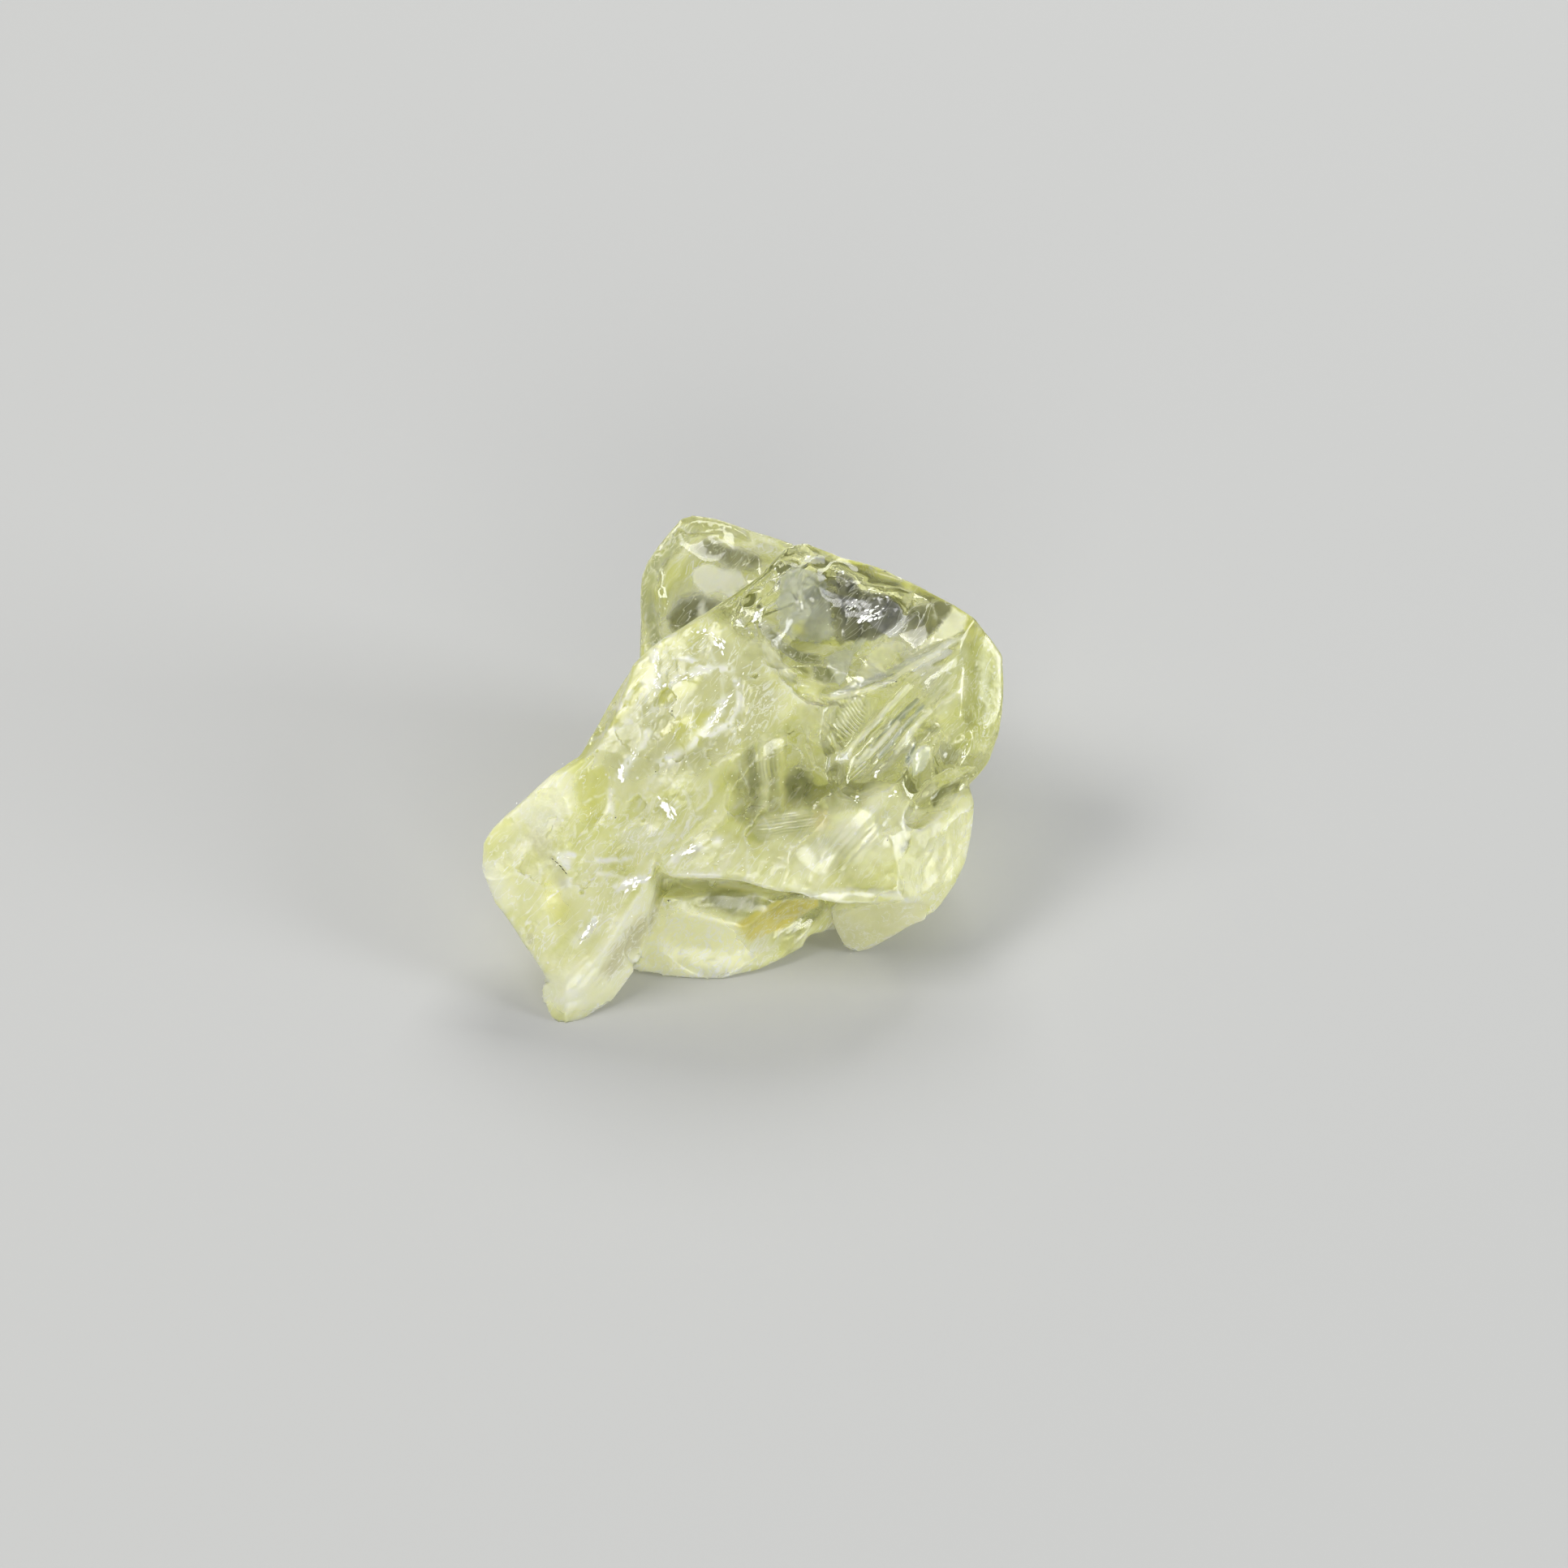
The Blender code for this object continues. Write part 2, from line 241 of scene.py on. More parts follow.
def smooth(mesh, values, rounds):  # moves each value half way to the mean of its neighbours'
    edges = np.empty(len(mesh.edges) * 2, dtype=np.int64)
    mesh.edges.foreach_get("vertices", edges)
    a, b = edges.reshape(-1, 2).T
    count = np.bincount(a, minlength=len(values)) + np.bincount(b, minlength=len(values))
    values = values.copy()
    for _ in range(rounds):
        for column in values.T:
            total = np.bincount(a, column[b], len(column)) + np.bincount(b, column[a], len(column))
            column += (total / count - column) * 0.5
    return values


def carve(points, index, place, facing, length, width, depth, turn, lip=0.0, rings=0, ringHeight=0.0,
          reach=3.5, seed=1, wander=0.25):
    # one shell-shaped break: what stands above a shallow bowl is pushed down onto it
    axes = axesOf(facing, turn)
    near = nearby(points, index, place, max(length, width) + min(reach, 1.0))
    if not len(near):
        return
    local = (points[near] - place) @ axes
    x, y = local[:, 0] / length, local[:, 1] / width
    ragged = clouds(points[near], (1, length * 0.5, seed), (0.5, length * 0.2, seed + 1))
    r = np.sqrt(x * x + y * y) * (1 + wander * ragged)
    bowl = -depth * (1 - r * r) - lip * y
    if rings:
        bowl += ringHeight * np.sin(r * rings * math.tau) * r
    cut = (r < 1) & (local[:, 2] > bowl) & (local[:, 2] < reach)
    points[near[cut]] += np.outer((bowl - local[:, 2])[cut], axes[:, 2])


glassBreaks = {  # place on the face, the way it faces, half length, half width, depth, turn, and extras
    "window": ((7.6, 26.9, 1.0), (0.05, 0.3, -1), 7.3, 4.4, 2.62, -4, {"rings": 3, "ringHeight": 0.03}),
    "windowLeft": ((2.2, 27.6, 0.4), (-0.2, 0.2, -1), 3.5, 2.5, 1.12, 60, {}),
    "windowLow": ((5.4, 24.4, 0.0), (0, -0.1, -1), 3.5, 2.3, 1.42, -30, {"rings": 4, "ringHeight": 0.04}),
    "fan": ((12.2, 22.2, 0.8), (0.3, -0.1, -1), 8.1, 3.0, 1.6, 41, {}),
    "ripples": ((7.2, 20.6, -0.5), (0.3, 0, -1), 2.7, 1.9, 0.9, 62, {}),
    "rightFlank": ((16.4, 21.4, 3.2), (0.8, 0.1, -1), 5.7, 2.5, 0.2, 95, {}),
    "rightPit": ((14.2, 18.6, 1.8), (0.5, 0, -1), 2.3, 1.6, 1.0, 60, {}),
    "rightSlot": ((12.2, 17.6, 0.8), (0.3, 0.2, -1), 2.3, 1.2, 0.7, 70, {}),
    "crease": ((13.0, 15.4, 1.8), (0.3, 0, -1), 3.1, 1.2, 1.0, 36, {}),
    "apronRight": ((14.4, 12.6, 1.8), (0.7, -0.1, -1), 3.5, 1.9, 0.3, 80, {}),
    "apron": ((7.8, 12.0, -1.4), (0.1, -0.1, -1), 5.7, 3.1, 0.4, 40, {}),
    "centre": ((2.2, 16.4, -1.8), (0, 0, -1), 4.5, 3.1, 0.4, 80, {}),
    "backFront": ((-2.8, 30.2, 9.1), (0, 0.1, -1), 4.3, 3.1, 0.9, 50, {}),
}

seams = {  # kind, half width, height (a step's is its drop on the right), whiteness, and the line's points
    "shoulderSpine": ("ridge", 0.3, 0.16, 1.0, [(-5.9, 25.6), (-6.0, 24.0), (-5.8, 22.4)]),
    "shoulderStep": ("step", 0.3, 0.2, 1.0, [(-6.0, 22.3), (-4.6, 23.2), (-3.0, 23.9), (-1.4, 24.1),
        (-0.4, 23.9)]),
    "leafRim": ("step", 0.16, 0.14, 0.7, [(-6.0, 21.0), (-5.9, 22.0), (-5.0, 22.9)]),
    "longVeil": ("step", 0.3, 0.24, 1.0, [(-6.3, 17.2), (-4.9, 18.1), (-3.7, 18.7), (-2.9, 19.5),
        (-1.9, 20.8), (-0.8, 22.9)]),
    "veilFork": ("step", 0.24, 0.2, 1.0, [(-2.8, 19.5), (-2.1, 19.6), (-1.1, 20.2), (-0.6, 20.6)]),
    "veilLoop": ("ridge", 0.22, 0.12, 1.0, [(-1.1, 20.2), (-0.3, 21.6), (-0.2, 22.8), (-0.8, 23.6)]),
    "edgeVeil": ("step", 0.22, 0.2, 0.9, [(-8.9, 21.2), (-8.0, 21.9), (-7.2, 22.9), (-6.2, 23.3)]),
    "lowEdgeVeil": ("step", 0.22, 0.2, 0.8, [(-9.7, 19.4), (-8.7, 20.0), (-7.4, 20.7)]),
    "glintVeil": ("ridge", 0.25, 0.1, 1.0, [(-6.4, 20.3), (-6.5, 19.2), (-7.2, 18.4), (-8.1, 17.4),
        (-8.1, 16.2)]),
    "toeVeil": ("ridge", 0.3, 0.1, 1.0, [(-11.6, 5.2), (-10.6, 6.2), (-9.8, 7.4)]),
    "wingVeil": ("ridge", 0.3, 0.14, 1.0, [(-8.8, 9.0), (-7.6, 9.7), (-6.3, 9.9)]),
    "wingTopVeil": ("ridge", 0.24, 0.12, 0.9, [(-5.0, 10.8), (-3.9, 11.7), (-2.4, 12.2), (-1.4, 12.6)]),
    "bruiseRay": ("ridge", 0.2, 0.08, 1.0, [(-12.3, 11.6), (-11.0, 11.3), (-9.2, 11.1), (-7.2, 11.3)]),
    "bruiseRayLow": ("ridge", 0.2, 0.08, 0.9, [(-12.3, 11.2), (-11.5, 10.2), (-11.8, 9.2)]),
    "topVeil": ("ridge", 0.22, 0.1, 1.0, [(-4.5, 24.8), (-3.8, 24.8), (-3.0, 24.3), (-1.5, 24.0),
        (-0.4, 23.9)]),
    "brow": ("ridge", 0.18, 0.08, 0.8, [(-5.8, 25.7), (-5.0, 26.2), (-4.4, 26.5)]),
    "cone": ("ridge", 0.3, 0.08, 0.7, [(-9.0, 16.2), (-8.9, 13.9)]),
    "toeGroove": ("groove", 0.3, 0.14, 0.0, [(-12.9, 1.0), (-10.7, 1.9), (-9.0, 3.0)]),
    "bruiseCrack": ("groove", 0.14, 0.16, 0.0, [(-13.0, 11.3), (-12.4, 10.8), (-11.9, 10.2)]),
    "wingRidge": ("step", 0.3, 0.22, 0.5, [(-11.9, 1.5), (-10.8, 3.4), (-8.3, 6.2), (-6.4, 9.5)]),
    "chinCrack": ("step", 0.14, 0.12, 0.6, [(-6.4, 9.5), (-8.4, 10.0), (-10.4, 10.3)]),
    "lipRim": ("ridge", 0.22, 0.16, 0.5, [(4.6, 22.4), (5.8, 22.2), (8.0, 22.7), (10.1, 23.3), (12.9, 25.1),
        (15.1, 26.8)]),
    "windowSplit": ("step", 0.2, 0.35, 0.3, [(5.8, 23.4), (7.6, 25.0), (9.4, 25.9), (11.2, 27.6),
        (12.4, 29.0)]),
    "windowHeart": ("step", 0.2, 0.3, 0.2, [(2.2, 26.2), (3.0, 24.2), (4.8, 23.4), (5.8, 23.4)]),
    "windowPeak": ("ridge", 0.2, 0.12, 0.3, [(3.2, 30.9), (3.6, 29.6), (3.9, 27.9)]),
    "windowCliff": ("step", 0.2, 0.4, 0.1, [(6.6, 30.6), (6.9, 28.6), (6.7, 26.4), (7.0, 25.6)]),
    "fanSlit": ("groove", 0.16, 0.3, 0.0, [(8.4, 18.6), (9.8, 20.0), (11.3, 21.8), (12.8, 23.2)]),
    "fanSlitLow": ("groove", 0.14, 0.26, 0.0, [(9.0, 17.6), (10.5, 19.2), (11.6, 20.6), (12.5, 21.4)]),
    "fanRidge": ("ridge", 0.16, 0.2, 0.4, [(10.1, 18.0), (11.8, 20.5), (13.1, 21.5), (14.7, 22.8)]),
    "fanRidgeHigh": ("ridge", 0.16, 0.14, 0.3, [(7.6, 18.8), (9.2, 20.9), (11.0, 22.8), (12.6, 24.4)]),
    "fanGroove": ("groove", 0.25, 0.3, 0.0, [(11.2, 18.0), (11.6, 18.7), (12.4, 19.4), (13.2, 20.3)]),
    "rightBlade": ("ridge", 0.25, 0.2, 0.3, [(14.0, 19.6), (13.1, 17.7)]),
    "creaseGroove": ("groove", 0.3, 0.35, 0.0, [(12.7, 14.8), (13.6, 16.0), (15.3, 17.0), (15.9, 17.1)]),
    "creaseRim": ("step", 0.2, 0.25, 0.4, [(15.6, 16.7), (14.2, 15.3), (12.6, 13.6), (11.2, 12.8)]),
    "vLeft": ("ridge", 0.2, 0.2, 0.4, [(5.2, 22.0), (5.3, 20.6), (6.4, 18.8), (7.0, 18.2)]),
    "vRight": ("ridge", 0.18, 0.16, 0.3, [(7.0, 18.2), (8.0, 19.2), (9.6, 21.0)]),
    "centreEdge": ("step", 0.2, 0.2, 0.4, [(4.4, 20.6), (4.2, 19.0), (5.0, 17.2), (6.6, 16.2)]),
    "lipChips": ("ridge", 0.25, 0.12, 0.6, [(-5.2, 10.2), (-2.5, 10.1), (-0.6, 9.4), (2.4, 8.9), (4.6, 8.7),
        (6.8, 9.1), (10.7, 8.8), (12.3, 7.4)]),
}

veils = {"seed": 12, "count": 90, "across": (-16, 2), "up": (3, 26), "length": (0.8, 4.0), "turn": (30, 80),
         "parts": 5, "bend": 16, "width": (0.07, 0.11), "height": (0.01, 0.035), "whiteness": (0.25, 0.6)}


def scatterVeils():  # thin pale ridges that run roughly along the stone's grain
    random = np.random.default_rng(veils["seed"])
    lines = []
    for _ in range(veils["count"]):
        x, y = random.uniform(*veils["across"]), random.uniform(*veils["up"])
        turn, length = random.uniform(*veils["turn"]), random.uniform(*veils["length"])
        step = length / veils["parts"]
        line = [(x, y)]
        for _ in range(veils["parts"]):
            turn += random.normal(0, veils["bend"])
            x += step * math.cos(math.radians(turn))
            y += step * math.sin(math.radians(turn))
            line.append((x, y))
        lines.append(("ridge", random.uniform(*veils["width"]), random.uniform(*veils["height"]),
                      random.uniform(*veils["whiteness"]), line))
    return lines


def segmentDistance(a, u, line):  # distance to the line, its side (positive on the right) and the share run
    best, side, share = np.full(len(a), 1e9), np.zeros(len(a)), np.zeros(len(a))
    for number, ((x0, y0), (x1, y1)) in enumerate(zip(line, line[1:])):
        dx, dy = x1 - x0, y1 - y0
        t = np.clip(((a - x0) * dx + (u - y0) * dy) / (dx * dx + dy * dy), 0, 1)
        ox, oy = a - x0 - t * dx, u - y0 - t * dy
        distance = np.hypot(ox, oy)
        closer = distance < best
        best = np.where(closer, distance, best)
        side = np.where(closer, np.sign(dy * ox - dx * oy), side)
        share = np.where(closer, (number + t) / (len(line) - 1), share)
    return best, side, share


def within(a, u, corners, margin):  # the points in the box round these corners
    xs, ys = zip(*corners)
    return (a > min(xs) - margin) & (a < max(xs) + margin) & (u > min(ys) - margin) & (u < max(ys) + margin)


seamShape = {"reach": 1.6, "wobble": (0.12, 0.7, 61), "sway": (0.12, 0.7, 63), "unevenness": (0.5, 0.9, 62),
             "ends": 0.12, "stepReach": 0.9, "whiter": 1.7, "milkSoftens": 0.5, "facing": (0.1, 0.4)}


def pressSeams(points, normals, milk):
    # works the seams into the surface and says how white each point is on them
    a, u, _ = faceMeasures(points)
    front = softly(normals @ outOfFace, *seamShape["facing"])
    wobble, sway = clouds(points, seamShape["wobble"]), clouds(points, seamShape["sway"])
    whiteness, shift = np.zeros(len(points)), np.zeros(len(points))
    for kind, width, height, white, line in [*seams.values(), *scatterVeils()]:
        near = np.flatnonzero(within(a, u, line, seamShape["reach"]) & (front > 0))
        distance, side, share = segmentDistance(a[near] + wobble[near], u[near] + sway[near], line)
        fade = softly(share, 0, seamShape["ends"]) * (1 - softly(share, 1 - seamShape["ends"], 1))
        fade = fade * (0.75 + clouds(points[near], seamShape["unevenness"]))
        narrow = np.exp(-(distance / width) ** 2)
        if kind == "step":
            drop = np.tanh(side * distance / width) * np.exp(-distance / seamShape["stepReach"])
            shift[near] -= 0.5 * height * drop * fade
        else:
            shift[near] += (height if kind == "ridge" else -height) * narrow * fade
        white = white * np.clip(seamShape["whiter"] * narrow * fade, 0, 1)
        whiteness[near] = np.maximum(whiteness[near], white)
    points += np.outer(shift * front * (1 - seamShape["milkSoftens"] * milk), outOfFace)
    return whiteness


combs = {  # fields of long ridges: place on the face, half length, half width, turn, ridge spacing and height
    "fan": ((10.7, 20.4), 5.6, 2.4, 47, 0.85, 0.2),
    "fanFine": ((9.8, 19.6), 4.6, 1.8, 47, 0.4, 0.07),
    "rightWall": ((15.2, 22.0), 4.0, 1.6, 60, 1.1, 0.12),
    "silk": ((3.0, 13.6), 2.6, 0.8, 8, 0.35, 0.06),
    "heart": ((1.8, 18.0), 2.6, 1.3, 88, 0.6, 0.06),
    "side": ((-8.6, 5.3), 3.8, 1.3, 50, 0.5, 0.06),
    "apron": ((7.5, 13.0), 3.4, 1.8, 50, 0.7, 0.1),
}
combShape = {"spread": 0.04, "stretch": 0.07, "crest": 0.6, "firstSeed": 71, "facing": (0.1, 0.4)}


def pressCombs(points, normals):
    a, u, _ = faceMeasures(points)
    front = softly(normals @ outOfFace, *combShape["facing"])
    for number, (place, length, width, turn, spacing, height) in enumerate(combs.values()):
        along, aside = turned(a, u, place, turn)
        inside = np.flatnonzero((np.abs(along) < length) & (np.abs(aside) < width) & (front > 0))
        along, aside = along[inside], aside[inside]
        fade = 1 - softly(np.hypot(along / length, aside / width), 0.6, 1)
        lane = (aside * (1 - combShape["spread"] * along), along * combShape["stretch"], 0 * along)
        ridges = np.abs(cloud(np.stack(lane, axis=1), spacing, combShape["firstSeed"] + number))
        crest = combShape["crest"] - 2 * ridges
        points[inside] += np.outer(crest * height * fade * front[inside], outOfFace)


zones = [  # across, up, half length, half width, turn, milk, frost, haze
    (-12.4, 10.0, 10.0, 7.0, 60, 0.97, 0.75, 0.55),
    (-4.7, 18.3, 11.0, 6.0, 52, 0.87, 0.6, 0.3),
    (2.4, 10.4, 9.0, 3.0, 0, 0.8, 0.45, 0.6),
    (7.4, 12.8, 6.0, 4.5, 40, 0.65, 0.2, 0.55),
    (13.7, 11.7, 5.6, 3.6, 70, 0.9, 0.6, 0.6),
    (2.7, 16.6, 4.6, 3.4, 80, 0.4, 0.05, 0.1),
    (7.1, 28.0, 9.5, 5.4, -10, 0.0, 0.0, 0.3),
    (10.6, 21.8, 10.0, 4.4, 40, 0.15, 0.03, 0.15),
    (16.2, 21.0, 6.0, 3.0, 90, 0.25, 0.08, 0.05),
    (13.7, 17.7, 4.0, 2.6, 30, 0.1, 0.03, 0.1),
    (-0.9, 8.2, 2.6, 1.1, 0, 0.4, 0.2, 0.0),
    (2.6, 7.2, 3.2, 1.7, 20, 0.35, 0.1, 0.0),
    (-3.8, 5.4, 6.4, 2.4, 0, 0.9, 0.2, 0.6),
    (9.4, 6.6, 4.2, 2.2, 10, 0.9, 0.5, 0.7),
    (-9.0, 4.2, 4.6, 2.2, 50, 0.92, 0.7, 0.8),
]
backTones = ((0.75, (0.5, 3.6, 8)), (0.25, (0.2, 4, 9)), (0.35, (0.3, 3, 10)))  # middle, and a layer of lumps
zoneShape = {"wander": ((0.16, 2.6, 3), (0.1, 1.0, 4)), "front": (8, 10), "edge": (0.75, 1.15)}
backLobe = {"front": (5.5, 7.5), "back": (11, 13), "above": (25, 27), "tone": (0.1, 0.04, 0.3)}


def paint(points):  # how milky, how frosted and how hazy white each point is
    across, up, deep = faceMeasures(points)
    wander = clouds(points, *zoneShape["wander"])
    values = np.stack([middle + clouds(points, layer) for middle, layer in backTones])
    front = 1 - softly(deep, *zoneShape["front"])
    for x, y, length, width, turn, *aims in zones:
        along, aside = turned(across, up, (x, y), turn)
        share = 1 - softly(np.hypot(along / length, aside / width) + wander, *zoneShape["edge"])
        values += (np.array(aims)[:, None] - values) * share * front
    share = softly(deep, *backLobe["front"]) * softly(up, *backLobe["above"])
    share = share * (1 - softly(deep, *backLobe["back"]))
    values += (np.array(backLobe["tone"])[:, None] - values) * share
    return np.clip(values, 0, 1)


swatches = {  # linear colours: the stone's own, and painted reflections, glows and shade
    "glass": (0.985, 0.99, 0.94), "lime": (0.64, 0.645, 0.17), "lemonGlow": (0.88, 0.86, 0.3),
    "slateReflection": (0.5, 0.52, 0.55), "slateShade": (0.26, 0.3, 0.3), "darkReflection": (0.14, 0.14, 0.09),
    "blackReflection": (0.05, 0.05, 0.06), "white": (0.96, 0.96, 0.92), "mossAndShade": (0.13, 0.14, 0.05),
    "haze": (0.9, 0.9, 0.66), "sageShade": (0.56, 0.58, 0.32), "pearlReflection": (0.85, 0.9, 0.9),
    "olive": (0.84, 0.73, 0.17), "cream": (0.96, 0.95, 0.58), "beige": (0.72, 0.7, 0.46),
    "bright": (0.95, 0.95, 0.76), "mistShade": (0.5, 0.5, 0.29), "rim": (0.48, 0.5, 0.16),
    "umber": (0.5, 0.46, 0.3), "lichen": (0.38, 0.4, 0.24), "ash": (0.86, 0.865, 0.72),
    "stoneGrey": (0.5, 0.48, 0.36), "amber": (0.9, 0.7, 0.25),
}

